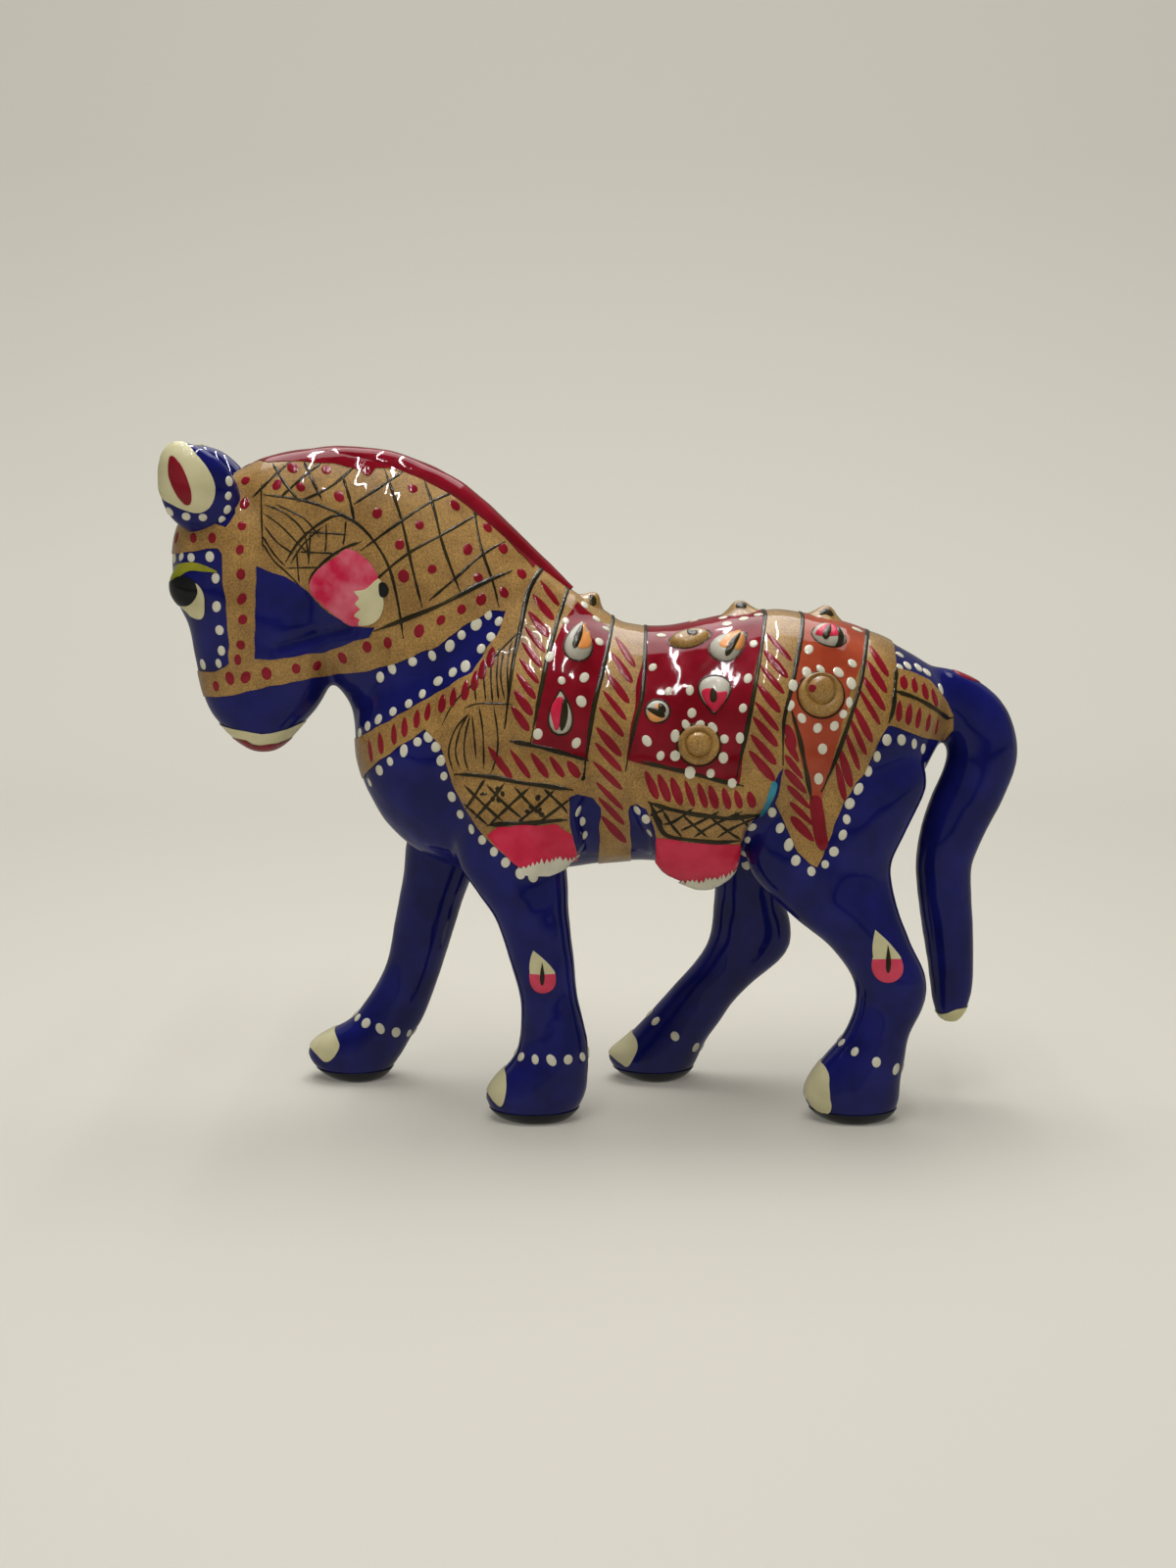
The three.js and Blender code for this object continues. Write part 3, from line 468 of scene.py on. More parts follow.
def paint(name, deep, light, roughness=0.14, relief=0.02, coat=0.0, speck=0.0):
    """Glossy enamel: a cloudy mix of a deep shade and a light one, with the slight unevenness of a hand.
    Relief is the bump in millimetres, speck the share of powder grains that show."""
    material = bpy.data.materials.new(name)
    material.use_nodes = True
    tree = material.node_tree
    uneven = tree.nodes.new("ShaderNodeGroup")
    uneven.node_tree = unevenness
    cloud = uneven.outputs["Cloud"]
    shades = screen_colour(*deep), screen_colour(*light)
    colour = mix_colours(tree, ramp(tree, cloud, CLOUD_RANGE), *shades)
    if speck:
        grain = ramp(tree, uneven.outputs["Speck"], SPECK_RANGE, (1 - speck, 1 + speck))
        colour = mix_colours(tree, 1, colour, grain, "MULTIPLY")
    bump = tree.nodes.new("ShaderNodeBump")
    feed(tree, bump.inputs, {"Strength": 1, "Distance": relief * MM, "Height": uneven.outputs["Relief"]})
    feed(tree, tree.nodes["Principled BSDF"].inputs, {
        "Base Color": colour,
        "Roughness": ramp(tree, cloud, (0, 1), GLOSS_SPREAD * roughness),
        "Normal": bump.outputs["Normal"],
        "Coat Weight": coat,
        "Coat Roughness": COAT_ROUGHNESS,
    })
    return material


cobalt = paint("cobalt_enamel", (17, 20, 84), (25, 28, 106), roughness=0.06, relief=0.01)


def unit(rows):
    """Rows scaled to length one."""
    return rows / np.linalg.norm(rows, axis=-1, keepdims=True)


def smooth_rows(rows, steps=STATION_STEPS, closed=False):
    """Rows filled in along a Catmull-Rom curve through them."""
    rows = np.asarray(rows, float)
    ends = (rows[-1:], rows[:2]) if closed else (rows[:1], rows[-1:])
    padded = np.concatenate([ends[0], rows, ends[1]])
    a, b, c, d = padded[:-3], padded[1:-2], padded[2:-1], padded[3:]
    t = (np.arange(steps) / steps)[:, None, None]
    curve = b + 0.5 * t * (c - a + t * (2 * a - 5 * b + 4 * c - d + t * (3 * (b - c) + d - a)))
    filled = curve.transpose(1, 0, 2).reshape(-1, rows.shape[1])
    return filled if closed else np.concatenate([filled, rows[-1:]])


def vectors(x, y, z):
    """Rows of x, y, z from numbers or columns."""
    return np.stack(np.broadcast_arrays(x, y, z), -1).astype(float)


def ellipses(middles, half_axes_a, half_axes_b, sides=RING_SIDES):
    """Rings of points: each middle plus cos t of one half axis and sin t of the other."""
    t = np.linspace(0, 2 * np.pi, sides, endpoint=False)[None, :, None]
    return middles[:, None] + np.cos(t) * half_axes_a[:, None] + np.sin(t) * half_axes_b[:, None]


def facing_out(points, faces):
    """The faces, turned round if they enclose a negative volume."""
    corners = [(face[0], face[i], face[i + 1]) for face in faces for i in range(1, len(face) - 1)]
    a, b, c = np.asarray(points)[np.array(corners)].transpose(1, 0, 2)
    volume = np.einsum("ij,ij->", a, np.cross(b, c))
    return faces if volume > 0 else [face[::-1] for face in faces]


def tube_faces(count, sides):
    """Faces of a tube through rings of points, with a flat end on the first and the last ring."""
    start = np.arange(count - 1)[:, None] * sides
    here = np.arange(sides)[None, :]
    beside = (here + 1) % sides
    quads = np.stack([start + here, start + beside, start + beside + sides, start + here + sides], -1)
    last = (count - 1) * sides
    ends = [list(range(sides))[::-1], list(range(last, last + sides))]
    return quads.reshape(-1, 4).tolist() + ends


def closed_loft(rings):
    """Points and outward faces of the closed surface through rings of points."""
    points = rings.reshape(-1, 3)
    return points, facing_out(points, tube_faces(*rings.shape[:2]))


def joined(surfaces):
    """Several surfaces as one list of points and one list of faces."""
    points, faces, start = [], [], 0
    for some_points, some_faces in surfaces:
        points.append(np.asarray(some_points).reshape(-1, 3))
        faces += [[start + i for i in face] for face in some_faces]
        start += len(points[-1])
    return np.concatenate(points), faces


def trunk_form():
    """Upright ellipses through the trunk's stations."""
    x, top, bottom, half = smooth_rows(TRUNK).T
    middle = vectors(x, 0, (top + bottom) / 2)
    height = (top - bottom) / 2 + SKIN_GROWTH
    return closed_loft(ellipses(middle, vectors(0, 0, height), vectors(0, half + SKIN_GROWTH, 0)))


def neck_form():
    """Ellipses between the crest and the throat line."""
    crest_x, crest_z, throat_x, throat_z, half = smooth_rows(NECK).T
    span = vectors(crest_x - throat_x, 0, crest_z - throat_z) / 2
    longer = 1 + SKIN_GROWTH / np.linalg.norm(span, axis=1, keepdims=True)
    middle = vectors((crest_x + throat_x) / 2, 0, (crest_z + throat_z) / 2)
    return closed_loft(ellipses(middle, span * longer, vectors(0, half + SKIN_GROWTH, 0)))


def slices_form(rows, side=0):
    """Level ellipses from a front to a rear line, such as the head's or a leg's."""
    z, front, rear, out, half = smooth_rows(rows).T
    length = (rear - front) / 2 + SKIN_GROWTH
    middle = vectors((front + rear) / 2, side * out, z)
    return closed_loft(ellipses(middle, vectors(length, 0, 0), vectors(0, half + SKIN_GROWTH, 0)))


def eye_form(side):
    """An ellipsoid of level rings."""
    turn = np.linspace(EYE_POLE_GAP, math.pi - EYE_POLE_GAP, EYE_RINGS)
    along, out, tall = np.array(EYE_HALF_SIZES) + SKIN_GROWTH
    middle = vectors(EYE_MIDDLE[0], side * EYE_MIDDLE[1], EYE_MIDDLE[2] + tall * np.cos(turn))
    share = np.sin(turn)
    return closed_loft(ellipses(middle, vectors(along * share, 0, 0), vectors(0, out * share, 0)))


def tail_form():
    """Ellipses square to the tail's centre line in the middle plane."""
    x, z, radius = smooth_rows(TAIL).T
    line = vectors(x, 0, z)
    along = unit(np.gradient(line, axis=0))
    outward = np.cross(along, (0, 1, 0)) * (radius + SKIN_GROWTH)[:, None]
    return closed_loft(ellipses(line, outward, vectors(0, TAIL_FLATNESS * (radius + SKIN_GROWTH), 0)))


def flap_form(outline, side, leg_rows):
    """A flap: its outline filled by rings drawn in to the middle, as far out as a trunk with a lower
    belly line or as the leg below it, and flat on the inside."""
    edge = smooth_rows(outline, closed=True)
    middle = edge.mean(0)
    shares = np.linspace(1, FLAP_CORE, FLAP_RINGS)[:, None, None]
    x, z = (middle + shares * (edge - middle)).transpose(2, 0, 1)
    station_x, top, bottom, half = np.array(TRUNK).T
    top, bottom, half = (np.interp(x, station_x, line) for line in (top, bottom - FLAP_HANG, half))
    fade = np.clip((edge[:, 1].max() - z) / FLAP_FADE, 0, 1)
    share = np.clip(1 - ((2 * z - top - bottom) / (top - bottom)) ** 2, 0, 1)
    trunk_reach = (half + FLAP_THICKNESS * fade) * np.sqrt(share)
    leg_z, front, rear, out, thick = np.array(leg_rows)[::-1].T
    front, rear, out, thick = (np.interp(z, leg_z, line) for line in (front, rear, out, thick))
    share = np.clip(1 - ((2 * x - front - rear) / (rear - front)) ** 2, 0, 1)
    leg_reach = np.where(share > 0, out + (thick + FLAP_THICKNESS * fade / 2) * np.sqrt(share), 0)
    reach = np.maximum(np.maximum(trunk_reach, leg_reach), FLAP_INNER + 1)
    outside = vectors(x, side * reach, z)
    inside = vectors(edge[:, 0], side * FLAP_INNER, edge[:, 1])[None]
    return closed_loft(np.concatenate([inside, outside]))


def evaluated_mesh(piece):
    """The mesh of a piece after its modifiers."""
    depsgraph = bpy.context.evaluated_depsgraph_get()
    return bpy.data.meshes.new_from_object(piece.evaluated_get(depsgraph))


def column(items, key, width, kind=float):
    """One property of every item of a mesh as an array."""
    flat = np.empty(len(items) * width, np.float32 if kind is float else np.int32)
    items.foreach_get(key, flat)
    return flat.reshape(-1, width) if width > 1 else flat


def lumps(points):
    """Slow unevenness between -1 and 1: the mean of many plane waves in chance directions."""
    chance = np.random.default_rng(LUMP_SEED)
    waves = unit(chance.normal(size=(LUMP_COUNT, 3)))
    waves *= 2 * np.pi / chance.uniform(*LUMP_LENGTHS, LUMP_COUNT)[:, None]
    phase = chance.uniform(0, 2 * np.pi, LUMP_COUNT)
    return np.sin(points @ waves.T + phase).mean(1) * math.sqrt(LUMP_COUNT) / 2


def seen_pixels(points):
    """Columns and rows of the pixels where points, or their mirror images on the near side, are seen."""
    offset = points * (1, 0, 1) - vectors(0, np.abs(points[:, 1]), 0) - camera_place
    aside = np.stack([offset @ view_right, -offset @ view_up])
    return PHOTO_MIDDLE[:, None] + FOCAL_PIXELS * aside / (offset @ view_forward)


def crease_relief(pixels):
    """The crease's depth: a bell curve of the distance to the line between its ends."""
    start, line = CREASE_ENDS[0], CREASE_ENDS[1] - CREASE_ENDS[0]
    share = np.clip((pixels.T - start) @ line / (line @ line), 0, 1)
    distance = np.linalg.norm(pixels.T - start - share[:, None] * line, axis=1)
    return -CREASE_DEPTH * np.exp(-(distance / CREASE_HALF_WIDTH) ** 2)


def band_relief(pixels):
    """How far the bands of the cloth stand out. Each rises from its two borders to its middle as one less
    the cube of the distance from that middle, alike on both sides of the horse."""
    across, down = pixels
    edges = [np.interp(down, *np.array(line).T[::-1]) for line in (*BORDERS, CLOTH_END)]
    relief = np.zeros(len(down))
    for left, right, rise in zip(edges, edges[1:], BAND_RISES):
        share = np.clip((across - left) / (right - left), 0, 1)
        relief += rise * (1 - np.abs(2 * share - 1) ** 3)
    return relief * np.clip((BAND_FOOT - down) / BAND_FADE, 0, 1)


head_rows = [(z, front, rear, 0, half) for z, front, rear, half in HEAD]
forms = [trunk_form(), neck_form(), slices_form(head_rows), tail_form()]
forms += [eye_form(side) for side in SIDES.values()]
forms += [slices_form(rows, side) for side, rows in LEGS.values()]
front_legs = {side: rows for name, (side, rows) in LEGS.items() if name.startswith("front")}
for side in SIDES.values():
    forms += [flap_form(outline, side, front_legs[side]) for outline in FLAPS.values()]
rough_points, rough_faces = joined(forms)
rough = add_piece("rough_skin", rough_points - DRAWING_SHIFT, rough_faces, cobalt)
merge = rough.modifiers.new("merge", "REMESH")
merge.mode = "VOXEL"
merge.voxel_size = SKIN_GRAIN * MM
rounding = rough.modifiers.new("round", "SMOOTH")
rounding.factor = ROUNDING_FACTOR
rounding.iterations = ROUNDING_STEPS
skin_mesh = evaluated_mesh(rough)
bpy.data.objects.remove(rough)

skin_points = column(skin_mesh.vertices, "co", 3) / MM
skin_normals = column(skin_mesh.vertex_normals, "vector", 3)
skin_pixels = seen_pixels(skin_points)
skin_relief = LUMP_DEPTH * lumps(skin_points) + band_relief(skin_pixels) + crease_relief(skin_pixels)
skin_points += skin_normals * skin_relief[:, None]
skin_mesh.vertices.foreach_set("co", (skin_points * MM).ravel())
skin_mesh.update()
skin_normals = column(skin_mesh.vertex_normals, "vector", 3)
skin_corners = column(skin_mesh.loops, "vertex_index", 1, int)
skin_faces = skin_corners.reshape(-1, 4)
skin_tree = BVHTree.FromPolygons(skin_points.tolist(), skin_faces.tolist())

# Castings. Two hollow half shells, four legs, the tail and four flaps of cast metal, soldered together
# under the enamel. Each is cut out of the skin along the model's joints and keeps the uncut skin's
# shading, so the enamel runs on over the joints.
LEG_JOINT_HEIGHT = 30
FRONT_TO_HIND = 1
TAIL_HALF_WIDTH = 6.5
TAIL_CUT = [(53, 72), (53, 52), (50.9, 48), (49.5, 44), (49, 36), (48.5, 5), (80, 5), (80, 72)]
FAR = 200


def side_span(side, inner=0):
    """The span across one side of the horse, outwards from a distance off the middle plane."""
    return sorted((side * inner, side * FAR))


def belongs(piece, node=None):
    """The piece rides with the horse. It may stand for a node of the model."""
    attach(piece, "root")
    if node:
        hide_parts(node)


def solid_with_normals(name, points, faces, corner_normals):
    """A closed mesh that carries the shading direction of every corner through later cuts."""
    solid = add_piece(name, points, faces, cobalt)
    carried = solid.data.attributes.new("skin_normal", "FLOAT_VECTOR", "CORNER")
    carried.data.foreach_set("vector", np.asarray(corner_normals, np.float32).ravel())
    return solid


def prism(outline, low, high):
    """Points and outward faces of an outline in x and z, drawn out along y."""
    x, z = np.asarray(outline, float).T
    turning = np.sum(x * np.roll(z, -1) - np.roll(x, -1) * z)
    if turning < 0:
        x, z = x[::-1], z[::-1]
    count = len(x)
    points = np.concatenate([vectors(x, low, z), vectors(x, high, z)])
    here = np.arange(count)
    beside = (here + 1) % count
    sides = np.stack([here, here + count, beside + count, beside], 1).tolist()
    return points, sides + [here.tolist(), (here[::-1] + count).tolist()]


def box(x0, x1, y0, y1, z0, z1):
    """Points and outward faces of a box."""
    return prism([(x0, z0), (x1, z0), (x1, z1), (x0, z1)], y0, y1)


def carve(solid, cutter, operation):
    """The mesh of a solid after a Boolean cut by points and faces."""
    tool = add_piece("cutter", *cutter, cobalt)
    cut = solid.modifiers.new("cut", "BOOLEAN")
    cut.operation = operation
    cut.object = tool
    cut.solver = "MANIFOLD"
    mesh = evaluated_mesh(solid)
    solid.modifiers.remove(cut)
    bpy.data.objects.remove(tool)
    return mesh


def finish_cut(name, mesh, material, node=None):
    """A piece from a cut mesh, shaded as the uncut skin where it is skin, and flat where it is cut."""
    carried = column(mesh.attributes["skin_normal"].data, "vector", 3)
    length = np.linalg.norm(carried, axis=1, keepdims=True)
    corner_counts = column(mesh.polygons, "loop_total", 1, int)
    flat = np.repeat(column(mesh.polygon_normals, "vector", 3), corner_counts, axis=0)
    shading = np.where(length > 0.5, carried / np.maximum(length, 1e-6), flat)
    mesh.attributes.remove(mesh.attributes["skin_normal"])
    mesh.shade_smooth()
    mesh.normals_split_custom_set(shading)
    mesh.materials.clear()
    mesh.materials.append(material)
    mesh.name = name
    piece = bpy.data.objects.new(name, mesh)
    scene.collection.objects.link(piece)
    belongs(piece, node)
    return piece


def drawn_prism(outline, low, high):
    """A prism over an outline given from the drawing's own origin."""
    points, faces = prism(outline, low, high)
    return points - DRAWING_SHIFT, faces


skin = solid_with_normals("skin", skin_points, skin_faces, skin_normals[skin_corners])
tail_cutter = drawn_prism(TAIL_CUT, -TAIL_HALF_WIDTH, TAIL_HALF_WIDTH)
finish_cut("tail_enamel", carve(skin, tail_cutter, "INTERSECT"), cobalt, "tail")
skin.data = carve(skin, tail_cutter, "DIFFERENCE")

for node, (side, _) in LEGS.items():
    reach_x = (-FAR, FRONT_TO_HIND) if node.startswith("front") else (FRONT_TO_HIND, FAR)
    leg_cutter = box(*reach_x, *side_span(side), -FAR, LEG_JOINT_HEIGHT)
    finish_cut(f"{node}_enamel", carve(skin, leg_cutter, "INTERSECT"), cobalt, node)

for side_name, side in SIDES.items():
    half_cutter = box(-FAR, FAR, *side_span(side), LEG_JOINT_HEIGHT, FAR)
    half = bpy.data.objects.new("half", carve(skin, half_cutter, "INTERSECT"))
    scene.collection.objects.link(half)
    for flap_name, outline in FLAPS.items():
        node = f"{side_name}_{flap_name}"
        flap_cutter = drawn_prism(smooth_rows(outline, closed=True), *side_span(side, FLAP_INNER))
        finish_cut(f"{node}_enamel", carve(half, flap_cutter, "INTERSECT"), cobalt, node)
        half.data = carve(half, flap_cutter, "DIFFERENCE")
    node = f"{side_name}_half_shell"
    finish_cut(f"{node}_enamel", half.data, cobalt, node)
    bpy.data.objects.remove(half)
bpy.data.objects.remove(skin)

# Ears. Two small metal castings with a back of blue enamel, each on a spigot in the head. They are
# lofted through ellipses square to a leaning centre line.
EAR_STEPS = 6
# x, distance from the middle plane, z, half width, half thickness
EAR = [
    (-54.8, 3.2, 86.6, 2.0, 0.9),
    (-55.2, 5.0, 88.3, 4.2, 2.0),
    (-56.0, 6.0, 90.6, 5.3, 3.0),
    (-57.3, 7.1, 93.3, 5.4, 3.1),
    (-58.7, 7.8, 95.8, 4.4, 2.6),
    (-60.0, 8.2, 97.6, 2.9, 1.8),
    (-60.8, 8.4, 98.5, 1.5, 0.9),
    (-61.1, 8.4, 98.8, 0.4, 0.3),
]
SHARP_ANGLE = math.radians(55)


def ear_form(side):
    """Ellipses square to the ear's centre line."""
    x, out, z, half, thick = smooth_rows(EAR, EAR_STEPS).T
    line = vectors(x, side * out, z) - DRAWING_SHIFT
    along = unit(np.gradient(line, axis=0))
    wide = unit(np.cross((0, 1, 0), along))
    return closed_loft(ellipses(line, wide * half[:, None], np.cross(along, wide) * thick[:, None]))


def smooth_piece(name, surface, material, node=None):
    """A piece of the horse from points and faces, smooth but for its sharp edges."""
    piece = add_piece(name, *surface, material)
    piece.data.shade_smooth()
    piece.data.set_sharp_from_angle(angle=SHARP_ANGLE)
    belongs(piece, node)


ear_surfaces = [ear_form(side) for side in SIDES.values()]
for side_name, surface in zip(SIDES, ear_surfaces):
    node = f"{side_name}_ear"
    smooth_piece(f"{node}_enamel", surface, cobalt, node)

# Mane crest. A rounded metal strip in crimson enamel, soldered along the top of the neck. It is lofted
# through ellipses square to the line of the crest.
crimson = paint("crimson_enamel", (116, 10, 24), (138, 20, 38), roughness=0.06)
# x, z, half width, half height
MANE = [
    (-51.0, 94.9, 1.4, 1.0),
    (-46.5, 96.2, 2.4, 1.6),
    (-38.0, 97.0, 3.0, 2.0),
    (-29.0, 96.1, 3.2, 2.1),
    (-20.0, 92.2, 3.0, 1.9),
    (-12.5, 86.0, 2.6, 1.6),
    (-6.0, 80.0, 1.8, 1.3),
    (-3.0, 77.5, 1.0, 1.0),
]
MANE_STEPS = 12
MANE_LUMPS = (0, 0, 2)  # shares of the lumps' depth along x, y and z
mane_x, mane_z, mane_half, mane_rise = smooth_rows(MANE, MANE_STEPS).T
mane_line = vectors(mane_x, 0, mane_z) - DRAWING_SHIFT
mane_up = np.cross(unit(np.gradient(mane_line, axis=0)), (0, 1, 0)) * (mane_rise + SKIN_GROWTH)[:, None]
mane_aside = vectors(0, mane_half + SKIN_GROWTH, 0)
mane_points, mane_faces = closed_loft(ellipses(mane_line, mane_up, mane_aside))
mane_points += LUMP_DEPTH * lumps(mane_points)[:, None] * MANE_LUMPS
smooth_piece("mane_crest_enamel", (mane_points, mane_faces), crimson, "mane_crest")

# Gold ground. One coat of bronze paint covers the neck, the bridle, the breast strap, the saddle cloth,
# the girth and the croup cloth, on both sides and over the back. It is cut out of a coat over the skin,
# in two halves that meet on the middle plane.
gold = paint("gold_paint", (146, 107, 46), (172, 131, 62), roughness=0.5, relief=0.04, coat=1, speck=0.3)
COAT_ROOT = -0.15
GOLD_HEIGHT = 0.16
OUTLINE_STEP = 0.7
OUTLINE_WOBBLE = 0.1
WOBBLE_LENGTHS = (3, 9)
WOBBLE_WAVES = 3
HAND_SEED = 3
hand = np.random.default_rng(HAND_SEED)

GOLD_OUTLINE = [
    (150, 533), (180, 534), (218, 534), (230, 538), (241, 524), (240, 505), (238, 487), (236, 468),
    (236, 430), (300, 420), (400, 430), (480, 470), (560, 545), (600, 570), (640, 600), (700, 590),
    (800, 580), (870, 590), (912, 630), (913, 663), (914, 680), (932, 686), (949, 694), (959, 705),
    (967, 717), (973, 730), (972, 745), (963, 755), (951, 755), (909, 740), (905, 740), (894, 764),
    (882, 788), (860, 820), (838, 877), (834, 885), (827, 882), (814, 870), (796, 830), (791, 819),
    (797, 800), (799, 783), (795, 788), (789, 800), (784, 815), (776, 830), (771, 832), (765, 843),
    (757, 857), (754, 864), (753, 884), (744, 896), (734, 902), (715, 905), (698, 899), (680, 886),
    (671, 863), (668, 848), (660, 826), (650, 820), (643, 822), (641, 828), (644, 858), (643, 880),
    (643, 910), (611, 910), (611, 870), (613, 824), (605, 814), (590, 811), (581, 814), (580, 830),
    (582, 842), (588, 866), (589, 878), (578, 886), (550, 889), (532, 886), (509, 868), (495, 854),
    (486, 843), (474, 824), (461, 799), (454, 774), (449, 760), (433, 744), (411, 760), (387, 775),
    (371, 793), (345, 812), (335, 765), (364, 753), (411, 727), (444, 708), (482, 685), (510, 642),
    (516, 624), (500, 623), (482, 633), (463, 647), (441, 662), (420, 670), (395, 680), (366, 686),
    (319, 692), (272, 701), (234, 710), (211, 711), (170, 716), (165, 684), (200, 685), (220, 685),
    (230, 680), (234, 677), (232, 631), (228, 595), (226, 565), (222, 559), (178, 565), (150, 567),
]


def pixel_rays(pixels):
    """Unit directions from the camera through pixels of the photograph."""
    across, down = ((np.asarray(pixels, float) - PHOTO_MIDDLE) / FOCAL_PIXELS).T
    return unit(view_forward + across[:, None] * view_right - down[:, None] * view_up)


def resampled(points, count):
    """A path or a table of rows along it at evenly spaced lengths."""
    points = np.asarray(points, float)
    lengths = np.linalg.norm(np.diff(points[:, :3], axis=0), axis=1)
    along = np.concatenate([[0], np.cumsum(lengths)])
    even = np.linspace(0, along[-1], count)
    return np.stack([np.interp(even, along, line) for line in points.T], 1)


def side_outline(pixels, plane=None):
    """The outline in x and z where the pixels' rays meet the skin, or the middle plane beside it, or an
    upright plane if one is given, with the slight wobble of a hand: waves of chance length along it."""
    places = []
    for ray in pixel_rays(pixels):
        place = None if plane else skin_tree.ray_cast(camera_place, ray)[0]
        if place is None:
            place = camera_place + ray * (((plane or 0) - camera_place[1]) / ray[1])
        places.append((place[0], place[2]))
    closed = np.array(places + places[:1])
    length = np.linalg.norm(np.diff(closed, axis=0), axis=1).sum()
    edges = []
    for edge in zip(closed, closed[1:]):
        count = max(2, round(math.dist(*edge) / OUTLINE_STEP))
        edges.append(resampled(edge, count)[:-1])
    outline = np.concatenate(edges)
    along = np.linspace(0, length, len(outline))[:, None]
    turns = (along / hand.uniform(*WOBBLE_LENGTHS) + hand.uniform(0, 1, 2) for _ in range(WOBBLE_WAVES))
    waves = sum(np.sin(2 * np.pi * turn) for turn in turns)
    return outline + OUTLINE_WOBBLE * waves / 2


def coat_solid(low, high):
    """A closed coat over the whole skin, from one height above it to another."""
    points = np.concatenate([skin_points + height * skin_normals for height in (high, low)])
    faces = np.concatenate([skin_faces, skin_faces[:, ::-1] + len(skin_points)])
    shading = np.concatenate([skin_normals[skin_corners], np.zeros((len(skin_corners), 3))])
    return solid_with_normals("coat", points, faces, shading)


def panel(name, outline, coat, material, span=(-FAR, FAR)):
    """The part of a coat inside an outline in x and z, on both sides of the horse or within a span
    across it."""
    mesh = carve(coat, prism(outline, *span), "INTERSECT")
    panels.append(finish_cut(name, mesh, material))


panels = []
gold_coat = coat_solid(COAT_ROOT, GOLD_HEIGHT)
gold_outline = side_outline(GOLD_OUTLINE)
for side_name, side in SIDES.items():
    panel(f"{side_name}_gold_ground", gold_outline, gold_coat, gold, side_span(side))

# Enamel fields on the gold: crimson mane band, collar and saddle, orange croup, blue cheek and pink
# flap lobes. Each is a thin layer of enamel, cut out of a coat over the skin.
orange = paint("orange_enamel", (156, 62, 38), (174, 80, 54), roughness=0.06)
pink = paint("pink_enamel", (196, 24, 58), (216, 54, 84), roughness=0.1)
ENAMEL_HEIGHT = 0.26
SADDLE_PLANE = -11.5  # distance from the middle plane at which the saddle lobe's outline is drawn
# paint, its slot in the record, plane of an outline that isn't drawn on the skin, outline
ENAMEL_FIELDS = {
    "mane_band": (crimson, "crimson_enamel", None, [
        (246, 467), (275, 471), (305, 470), (329, 472), (352, 475), (370, 480), (378, 484), (384, 477),
        (397, 478), (418, 481), (434, 487), (453, 494), (472, 503), (491, 520), (515, 546), (529, 563),
        (545, 578), (560, 560), (500, 480), (400, 430), (300, 430), (256, 448),
    ]),
    "collar_field": (crimson, "crimson_enamel", None, [
        (589, 614), (576, 634), (562, 662), (543, 759), (570, 767), (600, 775), (606, 721), (617, 675),
        (624, 641), (614, 635), (601, 624),
    ]),
    "saddle_field": (crimson, "crimson_enamel", None, [
        (663, 600), (660, 641), (650, 700), (639, 775), (649, 778), (700, 790), (754, 801), (763, 735),
        (771, 680), (779, 630), (782, 590),
    ]),
    "croup_field": (orange, None, None, [
        (824, 600), (821, 634), (816, 665), (806, 715), (808, 735), (818, 780), (830, 815), (836, 818),
        (841, 803), (853, 762), (868, 705), (884, 647), (888, 610),
    ]),
    "cheek_field": (cobalt, "cobalt_enamel", None, [
        (262, 578), (260, 673), (275, 673), (329, 666), (376, 650), (383, 640), (359, 639), (336, 626),
        (315, 605), (291, 588),
    ]),
    "shoulder_lobe": (pink, "pink_enamel", None, [
        (497, 852), (509, 843), (545, 842), (569, 841), (583, 852), (589, 870), (589, 878), (578, 884),
        (550, 887), (530, 885), (509, 867),
    ]),
    "saddle_lobe": (pink, "pink_enamel", SADDLE_PLANE, [
        (669, 852), (681, 853), (700, 856), (755, 859), (756, 888), (746, 899), (734, 906), (714, 909),
        (698, 903), (682, 894), (668, 880),
    ]),
}
enamel_coat = coat_solid(0, ENAMEL_HEIGHT)
for field_name, (finish, slot, plane, outline) in ENAMEL_FIELDS.items():
    panel(field_name, side_outline(outline, plane), enamel_coat, finish)

# Pale edges: the ragged ivory fringes of the pink lobes, the cream muzzle with its red lips, and the
# tail's yellow tip. Each is a thin coat of enamel, put on with a brush.
cream = paint("cream_enamel", (202, 195, 152), (218, 211, 170))
ivory = paint("ivory_enamel", (206, 202, 180), (226, 222, 204))
brush_red = paint("brush_red", (122, 16, 30), (144, 26, 42), roughness=0.12)
tip_yellow = paint("tip_yellow", (206, 198, 140), (226, 220, 172), roughness=0.2)
SHOULDER_PLANE = -14.5  # distance from the middle plane at which the shoulder fringe is drawn
SHOULDER_FRINGE_TOP = [(528, 886), (542, 881), (550, 879), (560, 878), (570, 876), (580, 878), (591, 877)]
SHOULDER_FRINGE_FOOT = [(591, 880), (580, 888), (560, 894), (545, 893), (528, 889)]
SADDLE_FRINGE_TOP = [
    (695, 902), (704, 901), (714, 902), (723, 898), (732, 897), (741, 895), (747, 890), (756, 887),
]
SADDLE_FRINGE_FOOT = [(758, 893), (746, 906), (734, 914), (720, 918), (706, 915), (692, 905)]
MUZZLE_FIELD = [
    (212, 735), (228, 741), (244, 745), (257, 748), (266, 749), (276, 748), (287, 746), (295, 744),
    (310, 736), (315, 795), (210, 795),
]
LIP_FIELD = [
    (238, 752), (246, 755), (251, 756), (257, 760), (266, 761), (276, 759), (284, 758), (300, 752),
    (305, 795), (220, 795),
]
TAIL_TIP = [(940, 1031), (958, 1034), (972, 1031), (1000, 1024), (1000, 1065), (940, 1065)]
FRINGE_HEIGHT = 0.36
